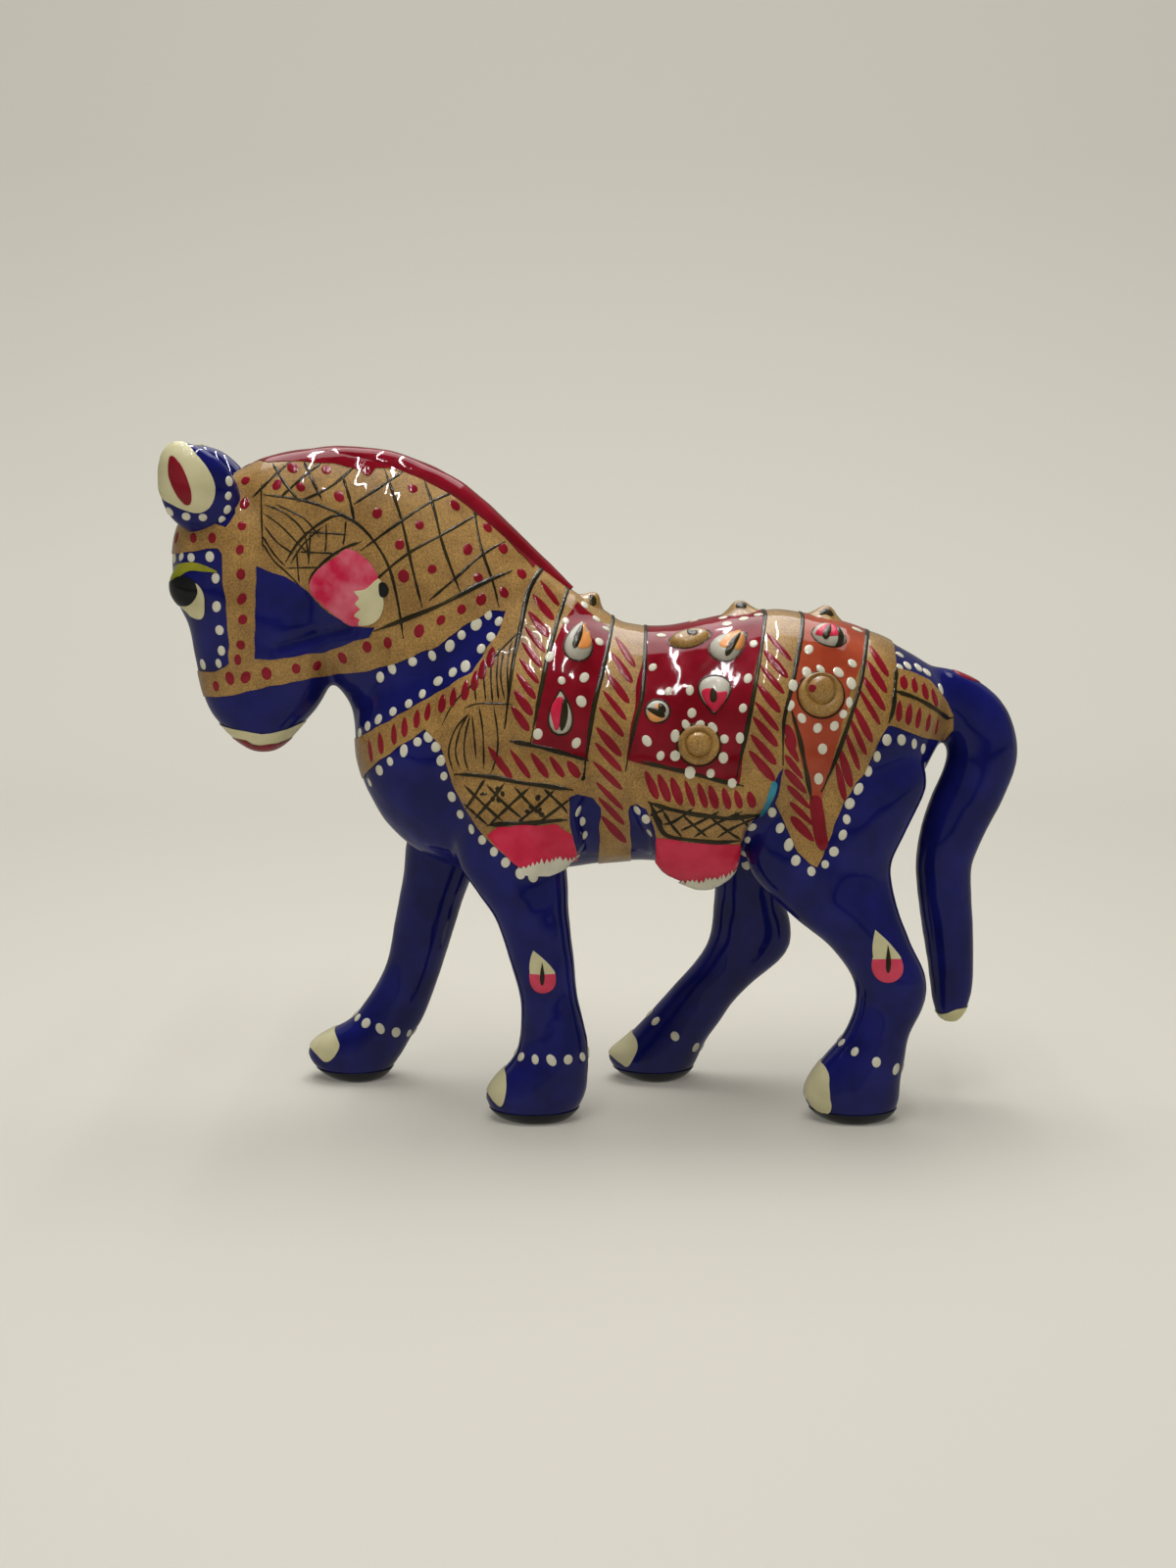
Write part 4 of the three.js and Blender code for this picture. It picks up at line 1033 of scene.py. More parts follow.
FRINGE_TEETH = 14
FRINGE_DEPTH = 3.5
FRINGE_CHANCE = (0.3, 1)


def fringe(top_line, foot_line):
    """An outline whose top line is ragged like brush hairs: points of chance depth on either side of it."""
    line = resampled(top_line, FRINGE_TEETH * 2)
    up_or_down = np.where(np.arange(len(line)) % 2, -1, 1)
    line[:, 1] += up_or_down * hand.uniform(*FRINGE_CHANCE, len(line)) * FRINGE_DEPTH
    return [*map(tuple, line), *foot_line]


fringe_coat = coat_solid(GOLD_HEIGHT, FRINGE_HEIGHT)
shoulder_fringe = fringe(SHOULDER_FRINGE_TOP, SHOULDER_FRINGE_FOOT)
saddle_fringe = fringe(SADDLE_FRINGE_TOP, SADDLE_FRINGE_FOOT)
panel("shoulder_fringe", side_outline(shoulder_fringe, SHOULDER_PLANE), fringe_coat, ivory)
panel("saddle_fringe", side_outline(saddle_fringe, SADDLE_PLANE), fringe_coat, ivory)
panel("muzzle_field", side_outline(MUZZLE_FIELD), gold_coat, cream)
panel("lip_field", side_outline(LIP_FIELD), enamel_coat, brush_red)
tail_span = (-TAIL_HALF_WIDTH, TAIL_HALF_WIDTH)
panel("tail_tip", side_outline(TAIL_TIP), gold_coat, tip_yellow, span=tail_span)

# Eyes. A cream almond with a large black iris below a green brow, near the front corners of the face.
# They are thin coats of enamel, with the iris over the other two.
leaf_green = paint("leaf_green", (120, 124, 20), (158, 156, 44), roughness=0.2)
iris_black = paint("iris_black", (16, 17, 18), (34, 36, 36), roughness=0.1)
EYE_WHITE = [(181, 612), (186, 622), (196, 630), (205, 631), (209, 622), (209, 611), (204, 600), (196, 596)]
IRIS = [(171, 603), (176, 592), (188, 588), (198, 592), (201, 603), (198, 614), (188, 618), (176, 614)]
BROW = [
    (176, 597), (174, 585), (182, 576), (195, 573), (208, 577), (222, 584), (208, 583), (195, 582),
    (184, 588),
]
# outline, coat, paint, distance from the middle of the forehead
EYE_FIELDS = {
    "eye_white": (EYE_WHITE, gold_coat, cream, 4.4),
    "brow": (BROW, gold_coat, leaf_green, 3.4),
    "iris": (IRIS, enamel_coat, iris_black, 3.0),
}
for field_name, (outline, coat, finish, inner) in EYE_FIELDS.items():
    for side_name, side in SIDES.items():
        edge = side_outline(smooth_rows(outline, closed=True))
        panel(f"{side_name}_{field_name}", edge, coat, finish, span=side_span(side, inner))

# Toes. Each hoof has a cap of cream enamel round its front. Its outline is drawn on an upright plane at
# the outside of the hooves.
HOOF_OUT = 13  # distance of that plane from the middle plane
# side of the horse, outline
TOES = {
    "front_right_toe": (1, [
        (308, 1062), (312, 1050), (325, 1044), (338, 1044), (348, 1052), (351, 1059), (347, 1067),
        (340, 1073), (334, 1074), (326, 1069), (318, 1064),
    ]),
    "front_left_toe": (-1, [
        (487, 1110), (495, 1098), (506, 1091), (516, 1091), (518, 1101), (516, 1113), (512, 1123),
        (505, 1120), (497, 1114),
    ]),
    "hind_right_toe": (1, [
        (614, 1070), (622, 1058), (634, 1050), (647, 1052), (650, 1060), (646, 1070), (640, 1079),
        (633, 1078), (622, 1073),
    ]),
    "hind_left_toe": (-1, [
        (814, 1112), (818, 1100), (827, 1089), (838, 1084), (844, 1092), (843, 1103), (844, 1113),
        (846, 1122), (842, 1131), (835, 1130), (827, 1126), (821, 1120),
    ]),
}
for toe_name, (side, outline) in TOES.items():
    edge = side_outline(smooth_rows(outline, closed=True), side * HOOF_OUT)
    panel(toe_name, edge, gold_coat, cream, span=side_span(side))

# Hoof rims. The soles and the lowest edge of each hoof are dark: partly dark paint at the edge, partly
# painted shade where each hoof stands on the floor. They are the part of a coat below a level plane.
sole_dark_and_shade = paint("sole_dark_and_shade", (12, 13, 20), (28, 30, 38), roughness=0.3)
# height of the dark band, raised to take in painted shade at the foot of each hoof
RIM_HEIGHT = 1.7
rim_cutter = box(-FAR, FAR, -FAR, FAR, -FAR, RIM_HEIGHT)
finish_cut("hoof_rims_and_shade", carve(gold_coat, rim_cutter, "INTERSECT"), sole_dark_and_shade)
for coat in (gold_coat, enamel_coat, fringe_coat):
    bpy.data.objects.remove(coat)

# Studs. Leaf and drop shaped castings and turned bosses stand on both sides, and three cones along the
# back. Each is built over the skin below its pixel and sunk into it by a root.
# greyed ivory of the studs' bodies: partly their own tone, partly painted shade and reflection
shaded_pearl = paint("pearl_enamel", (172, 168, 154), (202, 198, 184), roughness=0.08)
STUD_ROOT = 1.0
STUD_FOOT = 9 * np.array([(0, 0), (-1, 0), (1, 0), (0, -1), (0, 1)])  # pixels that give a stud's seat
STUD_SIDES = 48
LEAF_PEAK = 4 / math.sqrt(27)  # largest value of sin t sin t/2
LEAF_PROFILE = [(1, -0.7), (1, 0.12), (0.96, 0.4), (0.84, 0.72), (0.62, 0.9), (0.35, 0.98), (0.06, 1)]
BOSS_PROFILE = [
    (1, -0.6), (1, 0.22), (0.95, 0.4), (0.85, 0.5), (0.7, 0.46), (0.63, 0.36), (0.59, 0.5), (0.52, 0.8),
    (0.36, 0.96), (0.06, 1),
]
MOUND_PROFILE = [
    (1, -0.6), (1, 0.02), (0.86, 0.12), (0.68, 0.28), (0.5, 0.5), (0.34, 0.76), (0.18, 0.95),
    (0.03, 1),
]
STUD_PROFILES = {"leaf": LEAF_PROFILE, "oval": LEAF_PROFILE, "boss": BOSS_PROFILE}
# shape, pixel, length, width, height, turn of the tip in degrees, paint
SIDE_STUDS = {
    "collar_leaf_stud": ("leaf", (590.6, 654), 7.2, 4.0, 1.5, -12, shaded_pearl),
    "collar_petal_stud": ("leaf", (572, 727), 6.2, 3.3, 1.3, 0, shaded_pearl),
    "saddle_oval_stud": ("oval", (704, 653), 6.2, 4.0, 1.3, -68, gold),
    "saddle_leaf_stud": ("leaf", (745, 659), 6.4, 4.6, 1.5, -35, shaded_pearl),
    "saddle_eye_stud": ("oval", (671, 726), 3.2, 3.4, 1.0, 0, shaded_pearl),
    "saddle_petal_stud": ("leaf", (729, 709), 5.6, 4.5, 1.2, 180, shaded_pearl),
    "saddle_round_stud": ("boss", (713, 760), 5.8, 6.0, 1.8, 0, gold),
    "croup_drop_stud": ("oval", (845.5, 650), 4.6, 4.9, 1.6, -12, shaded_pearl),
    "croup_round_stud": ("boss", (837.5, 709), 6.6, 6.5, 2.0, 0, gold),
}
# x, radius and height of each
BACK_STUDS = {
    "withers_back_stud": (0.4, 2.5, 1.7),
    "saddle_back_stud": (22.9, 3.4, 2.0),
    "croup_back_stud": (35.6, 3.2, 1.9),
}
# how far a crown sits above the middle
CROWN_LEANS = {"saddle_round_stud": 0.15, "croup_round_stud": 0.42}
MIRROR = np.array([1, -1, 1])
FLIPS = {"left": np.ones(3), "right": MIRROR}


def drape(pixels, tree=skin_tree, plane=0.0):
    """Points and outward directions where the pixels' rays meet a surface. A ray that passes beside it
    takes the place nearest to where it meets an upright plane."""
    found = []
    for ray in pixel_rays(pixels):
        hit = tree.ray_cast(camera_place, ray)
        if hit[0] is None:
            hit = tree.find_nearest(camera_place + ray * ((plane - camera_place[1]) / ray[1]))
        found.append((*hit[0], *hit[1]))
    found = np.array(found)
    return found[:, :3], found[:, 3:]


def settle(points, tree=skin_tree):
    """The nearest places on a surface, with their outward directions."""
    found = np.array([(*hit[0], *hit[1]) for hit in map(tree.find_nearest, points.reshape(-1, 3))])
    return found[:, :3].reshape(points.shape), found[:, 3:].reshape(points.shape)


def stud_edge(shape):
    """The rim of a stud in shares of its half width and half length, with its tip at the top."""
    t = np.linspace(0, 2 * np.pi, STUD_SIDES, endpoint=False)
    breadth = np.sin(t) * np.sin(t / 2) / LEAF_PEAK if shape == "leaf" else np.sin(t)
    return np.stack([breadth, np.cos(t)], 1)


def stud_axes(normal, tip):
    """A stud's directions to its right and towards its tip, both square to the outward one."""
    up = unit(tip - normal * np.dot(tip, normal))
    return np.cross(up, normal), up


def stud_rings(profile, height):
    """The shares and the heights of a profile's rings. Its root lies below the skin."""
    share, rise = np.array(profile).T
    rise = np.where(rise < 0, -STUD_ROOT, rise * height)
    return share[:, None, None], rise[:, None, None]


def stud_form(place, normal, tip, edge, profile, half_width, half_length, height, lean):
    """A stud: its rim drawn in and raised by a profile of shares, with a root below the skin. Its crown
    may sit above its middle by a share of its half length."""
    right, up = stud_axes(normal, tip)
    share, rise = stud_rings(profile, height)
    across = share * (edge[:, :1] * half_width * right + edge[:, 1:] * half_length * up)
    across += (1 - share) * lean * half_length * up
    return closed_loft(place + across + rise * normal)


stud_surfaces = []
stud_rims = []
for stud_name, (shape, pixel, length, width, height, turn, finish) in SIDE_STUDS.items():
    places, normals = drape(np.array(pixel) + STUD_FOOT)
    tip = np.array([-math.sin(math.radians(turn)), 0, math.cos(math.radians(turn))])
    sizes = width / 2, length / 2, height
    lean = CROWN_LEANS.get(stud_name, 0)
    for side_name, flip in FLIPS.items():
        node = f"{side_name}_{stud_name}"
        seat = places[0] * flip, unit(normals.sum(0)) * flip, tip
        surface = stud_form(*seat, stud_edge(shape), STUD_PROFILES[shape], *sizes, lean)
        smooth_piece(f"{node}_enamel", surface, finish, node)
        stud_surfaces.append(surface)
        stud_rims.append((seat, shape, sizes))
for node, (stud_x, radius, height) in BACK_STUDS.items():
    above = np.array([stud_x, 0, FAR]) - DRAWING_SHIFT
    place, normal = (np.array(part) for part in skin_tree.ray_cast(above, (0, 0, -1))[:2])
    along = np.array([normal[2], 0, -normal[0]])
    rim = radius * (stud_edge("boss") @ np.array([along, (0, 1, 0)]))
    share, rise = stud_rings(MOUND_PROFILE, height)
    foot, outward = settle(place + share * rim)
    surface = closed_loft(foot + rise * outward)
    smooth_piece(f"{node}_enamel", surface, gold, node)
    stud_surfaces.append(surface)

# Black brush lines. Thin raised ribbons outline the fields, cross the neck in a lattice, hatch the flap
# strips and draw the leaf and the folds of cloth. The long borders run on over the back.
brush_black = paint("brush_black", (30, 25, 12), (54, 46, 24), roughness=0.2, relief=0.05)
LINE_HEIGHT = 0.08
LINE_LIFT = ENAMEL_HEIGHT
RIBBON_ROOT = -0.1
LINE_STATIONS = 28
BORDER_STATIONS = 90
RIBBON_ACROSS = np.array([-1, -1, -0.65, 0, 0.65, 1, 1])
RIBBON_RISE = np.array([np.nan, 0, 0.9, 1, 0.9, 0, np.nan])  # the unnumbered corners are the root
BORDER_WIDTH = 0.62
LATTICE_WIDTH = 0.42
FINE_WIDTH = 0.26
LINE_END = 0.1  # share of a line over which it swells to its full width
LINE_END_WIDTH = 0.35
LINE_UNSTEADINESS = 0.18
LINE_WAVES = (1.5, 3)
CURVE_STEPS = 6
OVER_BACK_STEPS = 16
STUD_LINE_SHARE = 1.06

FLANK_LINES = [
    [(520, 756), (555, 763), (601, 776)],
    [(654, 777), (698, 787), (725, 794), (759, 802)],
    [(808, 726), (817, 759), (828, 816)],
    [(914, 682), (911, 722), (906, 738)],
    [(911, 705), (932, 712), (951, 722), (965, 732), (972, 732)],
    [(464, 790), (484, 791), (509, 794), (533, 799), (551, 801), (585, 806)],
    [(497, 842), (522, 840), (546, 839), (565, 837), (579, 836)],
    [(661, 818), (678, 824), (695, 828), (711, 831), (727, 833), (743, 835), (760, 833), (775, 830)],
    [(663, 819), (671, 838), (680, 852), (701, 856), (719, 858), (735, 859), (755, 857)],
    [(382, 644), (446, 619), (493, 595), (522, 583)],
]
NECK_LINES = [
    [(391, 477), (399, 498), (411, 536), (421, 581), (431, 620)],
    [(431, 487), (442, 517), (452, 557), (470, 606)],
    [(482, 515), (491, 560), (503, 595), (509, 620)],
    [(350, 487), (357, 510), (362, 534)],
    [(279, 474), (291, 494), (305, 511)],
    [(310, 471), (319, 491), (329, 511)],
    [(361, 515), (387, 498), (411, 482)],
    [(368, 562), (411, 531), (439, 513), (465, 502)],
    [(374, 605), (388, 588), (418, 564), (451, 546), (491, 523)],
    [(438, 613), (465, 590), (491, 567), (515, 553)],
    [(258, 508), (275, 491), (296, 472)],
    [(286, 508), (310, 487), (329, 472)],
    [(303, 513), (336, 498), (364, 475)],
    [(340, 520), (364, 534), (382, 553), (397, 579), (406, 614), (412, 652)],
    [(269, 505), (310, 511), (341, 522), (362, 534)],
    [(316, 603), (319, 586), (336, 569), (352, 559), (369, 553)],
    [(291, 574), (305, 553), (324, 536), (345, 526), (364, 534)],
]
FINE_LINES = [
    [(267, 494), (267, 530), (268, 562)],
    [(270, 515), (291, 524), (310, 543), (315, 572)],
    [(269, 524), (286, 536), (303, 553), (315, 565)],
    [(269, 536), (282, 553), (300, 565)],
    [(267, 546), (279, 565), (291, 578)],
    [(282, 515), (310, 529), (326, 548)],
    [(267, 553), (279, 572), (291, 583), (307, 599)],
    [(296, 576), (310, 555), (329, 538)],
    [(291, 580), (320, 579), (352, 579)],
    [(305, 563), (325, 564), (348, 565)],
    [(310, 543), (330, 544), (355, 546)],
    [(303, 562), (304, 578), (305, 595)],
    [(333, 534), (333, 550), (332, 565)],
    [(317, 543), (316, 560), (315, 576)],
    [(353, 531), (352, 545), (350, 557)],
    [(495, 675), (494, 693), (496, 716)],
    [(503, 668), (501, 691), (503, 718)],
    [(509, 663), (507, 689), (509, 716)],
    [(515, 661), (511, 689), (515, 714)],
    [(523, 652), (518, 679), (519, 718)],
    [(485, 691), (485, 704), (486, 716)],
    [(474, 723), (490, 718), (523, 719)],
    [(451, 741), (463, 718), (486, 695), (509, 666), (539, 636)],
    [(479, 728), (465, 744), (458, 767), (463, 787)],
    [(478, 730), (470, 744), (465, 767), (470, 785)],
    [(480, 730), (475, 750), (474, 770), (478, 787)],
    [(482, 730), (484, 750), (486, 774)],
    [(489, 721), (493, 748), (494, 785)],
    [(504, 721), (508, 750), (507, 771), (501, 790)],
    [(518, 718), (517, 730), (516, 741)],
    [(597, 775), (597, 783), (595, 792)],
]
HATCHING = [
    [(495, 795), (485, 811), (476, 825)],
    [(515, 799), (500, 818), (485, 835)],
    [(541, 803), (520, 822), (499, 842)],
    [(566, 806), (547, 824), (527, 840)],
    [(582, 815), (558, 833), (540, 846)],
    [(474, 801), (494, 821), (513, 838)],
    [(497, 801), (516, 821), (533, 835)],
    [(525, 803), (541, 821), (556, 834)],
    [(555, 805), (574, 823), (579, 830)],
    [(474, 820), (486, 831), (497, 841)],
    [(490, 811), (493, 810), (497, 810)],
    [(663, 819), (669, 830), (676, 841)],
    [(676, 827), (685, 841), (696, 854)],
    [(697, 832), (709, 843), (722, 854)],
    [(726, 835), (740, 846), (755, 856)],
    [(750, 828), (757, 836), (763, 843)],
    [(663, 832), (670, 829), (678, 826)],
    [(676, 841), (688, 838), (707, 825)],
    [(695, 847), (715, 838), (734, 828)],
    [(708, 854), (725, 843), (757, 828)],
    [(732, 854), (747, 845), (774, 832)],
]


def ribbons(paths, normals, widths, height=LINE_HEIGHT, lift=LINE_LIFT):
    """Brush marks: a low arch of seven points carried along each path over the skin, with closed ends."""
    along = np.gradient(paths, axis=1)
    aside = unit(np.cross(normals, along))
    rise = np.where(np.isnan(RIBBON_RISE), RIBBON_ROOT, lift + RIBBON_RISE * height)
    reach = (RIBBON_ACROSS * widths[..., None] / 2)[..., None]
    points = paths[:, :, None] + reach * aside[:, :, None] + rise[:, None] * normals[:, :, None]
    faces = tube_faces(paths.shape[1], len(RIBBON_ACROSS))
    return joined([(ribbon, faces) for ribbon in points])


def line_on_skin(pixels, stations, over_back=False):
    """Points and outward directions along a drawn line, on the near side or from side to side."""
    places, _ = drape(resampled(smooth_rows(pixels, CURVE_STEPS), stations))
    if over_back:
        top = places[0]
        steps = np.linspace(top[1], -top[1], OVER_BACK_STEPS)[1:-1]
        over = [skin_tree.ray_cast((top[0], y, FAR), (0, 0, -1))[0] for y in steps]
        places = np.concatenate([places[::-1], np.array(over), places * MIRROR])
    return settle(resampled(places, stations))


def line_width(stations, width):
    """A brush line's width along it: full in the middle, thin at both ends, and a little unsteady."""
    share = np.linspace(0, 1, stations)
    ends = np.clip(np.minimum(share, 1 - share) / LINE_END, LINE_END_WIDTH, 1)
    turns = hand.uniform(*LINE_WAVES) * share + hand.uniform()
    return width * ends * (1 + LINE_UNSTEADINESS * np.sin(2 * np.pi * turns))


def runs_on_both_sides(lines, stations):
    """Points and outward directions along drawn lines of the near side, and along their mirror images."""
    places, normals = zip(*[line_on_skin(line, stations) for line in lines])
    near = np.array(places), np.array(normals)
    return near, settle(near[0] * MIRROR)


def brush_lines(lines, width, lift=LINE_LIFT):
    """Drawn lines on the near side and their mirror images on the far side."""
    runs = runs_on_both_sides(lines, LINE_STATIONS)
    widths = np.array([line_width(LINE_STATIONS, width) for _ in lines])
    return [ribbons(*run, widths, lift=lift) for run in runs]


border_paths = [line_on_skin(line, BORDER_STATIONS, over_back=True) for line in BORDERS]
border_places, border_normals = (np.array(part) for part in zip(*border_paths))
border_widths = np.array([line_width(BORDER_STATIONS, BORDER_WIDTH) for _ in BORDERS])
line_surfaces = [ribbons(border_places, border_normals, border_widths)]
line_surfaces += brush_lines(FLANK_LINES, BORDER_WIDTH)
line_surfaces += brush_lines(NECK_LINES, LATTICE_WIDTH, GOLD_HEIGHT)
line_surfaces += brush_lines(FINE_LINES, FINE_WIDTH, GOLD_HEIGHT)
line_surfaces += brush_lines(HATCHING, LATTICE_WIDTH, GOLD_HEIGHT)
# a thin black ring round the foot of each side stud: partly painted outline, partly painted shade where the
# stud meets the skin
for (place, normal, tip), shape, (half_width, half_length, _) in stud_rims:
    right, up = stud_axes(normal, tip)
    rim = stud_edge(shape) * STUD_LINE_SHARE
    loop = place + rim[:, :1] * half_width * right + rim[:, 1:] * half_length * up
    loop_places, loop_normals = settle(resampled(np.concatenate([loop, loop[:1]]), BORDER_STATIONS))
    loop_widths = np.full((1, BORDER_STATIONS), FINE_WIDTH)
    line_surfaces.append(ribbons(loop_places[None], loop_normals[None], loop_widths))
smooth_piece("black_brush_lines", joined(line_surfaces), brush_black)

# Red brush strokes. Slanting strokes fill every gold border, thin where the brush lands and full where
# it leaves.
STROKE_STATIONS = 13
STROKE_WIDTH = 1.15
STROKE_INSET = 0.13
STROKE_CHANCE = (0.8, 1.25)
STROKE_SWELL = 0.65
STROKE_TAPER = 0.45
STRIP_STEPS = 101
STRIP_CHANCE = 0.1
# two edges of a border, number of strokes, lean along it
STROKE_STRIPS = [
    ([(552, 582), (539, 604), (530, 647), (515, 744)], [(581, 596), (562, 659), (541, 758)], 9, 0.12),
    ([(627, 636), (606, 721), (600, 776), (610, 830), (613, 874)],
     [(658, 643), (648, 705), (638, 775), (640, 820), (643, 874)], 11, 0.15),
    ([(486, 755), (524, 761), (554, 767), (590, 777)],
     [(518, 801), (549, 799), (570, 797), (602, 796)], 5, 0.02),
    ([(780, 632), (771, 680), (763, 735), (754, 805)],
     [(817, 634), (814, 670), (800, 730), (794, 812)], 8, 0.2),
    ([(650, 780), (700, 792), (755, 804), (775, 806)],
     [(664, 818), (700, 827), (740, 830), (776, 826)], 9, 0.03),
    ([(805, 722), (812, 765), (828, 818), (835, 845), (834, 872)],
     [(801, 726), (797, 780), (804, 832), (824, 868)], 7, -0.24),
    ([(886, 648), (870, 704), (853, 764), (846, 795)],
     [(911, 668), (906, 736), (882, 786), (860, 832)], 9, 0.12),
    ([(916, 686), (934, 689), (956, 704)], [(912, 703), (936, 711), (961, 728)], 4, 0.06),
    ([(912, 710), (936, 716), (964, 736)], [(910, 738), (934, 747), (958, 753)], 5, 0.03),
    ([(508, 650), (482, 688), (444, 711), (411, 730), (366, 756)],
     [(506, 676), (478, 716), (436, 738), (410, 758), (374, 786)], 12, 0.02),
]


def across_strip(edges, count, lean):
    """Slanting lines from one edge of a strip to the other. Lean is the shift along it as a share, and
    the lines keep half of it from both ends."""
    steps = (np.arange(count) + 0.5 + hand.uniform(-STRIP_CHANCE, STRIP_CHANCE, count)) / count
    shares = abs(lean) / 2 + (1 - abs(lean)) * steps
    even = np.linspace(0, 1, STRIP_STEPS)
    starts, ends = (
        np.stack([np.interp(shares + shift, even, part) for part in resampled(edge, STRIP_STEPS).T], 1)
        for edge, shift in zip(edges, (-lean / 2, lean / 2))
    )
    insets = STROKE_INSET * (ends - starts)
    return [(a + inset, (a + b) / 2, b - inset) for a, b, inset in zip(starts, ends, insets)]


def stroke_width(stations):
    """A brush stroke's width along it: a leaf, fullest a little past its middle. It is a power of the
    share from the start times a power of the share to the end."""
    share = np.linspace(0, 1, stations)
    return 2 * (share + 0.02) ** STROKE_SWELL * (1.01 - share) ** STROKE_TAPER


stroke_surfaces = []
for *edges, count, lean in STROKE_STRIPS:
    runs = runs_on_both_sides(across_strip(edges, count, lean), STROKE_STATIONS)
    widths = STROKE_WIDTH * stroke_width(STROKE_STATIONS) * hand.uniform(*STROKE_CHANCE, (count, 1))
    stroke_surfaces += [ribbons(*run, widths, lift=GOLD_HEIGHT) for run in runs]
smooth_piece("red_brush_strokes", joined(stroke_surfaces), brush_red)

# Dots. Drops of ivory and red enamel, and small black ones in rosettes, set down by hand as low domes on
# the skin. The anklets go round each leg.
DOT_SIDES = 12
WHITE_RADIUS = 0.74
WHITE_HEIGHT = 0.17
RED_RADIUS = 0.82
RED_HEIGHT = 0.09
ROSETTE_RADIUS = 0.4
DOT_SHARE = np.array([1, 0.98, 0.8, 0.45])
DOT_RISE = np.array([np.nan, 0.25, 0.72, 0.95])
# height, slope and number of dots of each anklet
ANKLETS = {
    "front_left_leg": (9.9, 0.0, 12),
    "front_right_leg": (8.9, -0.3, 12),
    "hind_left_leg": (10.0, -0.45, 9),
    "hind_right_leg": (7.7, -0.65, 8),
}
ANKLET_RADIUS = 0.72
ANKLET_REACH = 9
PAINT_REACH = 1
STEEP = 0.9
DOT_LEAN = 0.6
# chance widths, lengths and sizes of the dots
DOT_WIDTHS = (0.8, 0.98)
DOT_LENGTHS = (0.96, 1.22)
DOT_SIZES = (0.85, 1.15)
WHITE_DOTS = [
    (178, 569), (185, 568), (195, 569), (214, 568), (220, 590), (221, 619), (224, 643), (226, 664),
    (223, 677), (207, 678), (388, 691), (400, 682), (421, 675), (441, 669), (459, 659), (471, 648),
    (486, 637), (498, 627), (509, 634), (501, 650), (491, 662), (475, 680), (462, 686), (447, 695),
    (431, 708), (417, 718), (401, 726), (386, 734), (375, 741), (367, 748), (426, 757), (412, 766),
    (398, 777), (387, 786), (377, 798), (437, 752), (445, 762), (450, 776), (453, 792), (461, 813),
    (470, 831), (481, 846), (492, 857), (504, 869), (516, 880), (531, 891), (544, 894), (590, 828),
    (594, 838), (597, 852), (596, 618), (577, 635), (608, 633), (618, 643), (611, 656), (561, 671),
    (573, 695), (596, 692), (593, 716), (549, 749), (588, 758), (675, 650), (708, 635), (738, 632),
    (742, 638), (759, 633), (774, 629), (769, 658), (666, 682), (682, 706), (704, 705), (763, 693),
    (758, 723), (706, 728), (700, 740), (714, 741), (727, 743), (689, 751), (739, 754), (755, 753),
    (660, 756), (674, 771), (689, 771), (738, 773), (704, 788), (725, 789), (747, 799), (650, 827),
    (659, 836), (663, 850), (767, 844), (763, 857), (759, 871), (761, 883), (874, 644), (825, 664),
    (869, 678), (837, 684), (823, 687), (855, 687), (809, 700), (868, 698), (806, 720), (866, 717),
    (818, 733), (860, 729), (834, 743), (851, 741), (839, 764), (835, 794), (905, 755), (920, 755),
    (933, 759), (942, 764), (895, 772), (886, 787), (876, 805), (867, 820), (864, 836), (860, 852),
    (851, 869), (842, 882), (828, 889), (812, 878), (805, 862), (796, 845), (788, 829), (918, 668),
    (918, 681), (926, 679), (937, 681), (946, 686), (960, 703),
]
EAR_DOTS = [(234, 491), (233, 506), (232, 520), (227, 531), (207, 528), (190, 527), (173, 522)]
RED_DOTS = [
    (251, 471), (251, 491), (250, 514), (247, 537), (245, 561), (246, 586), (247, 611), (248, 632),
    (246, 658), (243, 673), (221, 700), (235, 692), (251, 691), (272, 687), (302, 682), (323, 679),
    (350, 671), (375, 660), (396, 656), (428, 644), (450, 633), (471, 622), (491, 612), (514, 605),
    (532, 586), (346, 507), (385, 524), (421, 499), (428, 536), (408, 556), (412, 588), (441, 581),
    (464, 516), (477, 561), (497, 539), (488, 590), (513, 560), (299, 478), (283, 495), (307, 497),
    (333, 480), (374, 481), (181, 549), (198, 549), (217, 549),
]
ROSETTES = [
    (503, 815), (509, 816), (513, 810), (506, 810), (508, 805), (542, 823), (538, 828), (553, 831),
    (547, 827), (551, 826), (549, 814), (595, 794),
]


def paint_heights(places, normals):
    """How high the coats of paint stand over places on the skin."""
    heights = []
    for place, normal in zip(places, normals):
        distance = panel_tree.ray_cast(place + PAINT_REACH * normal, -normal, PAINT_REACH)[3]
        heights.append(0 if distance is None else PAINT_REACH - distance)
    return np.array(heights)


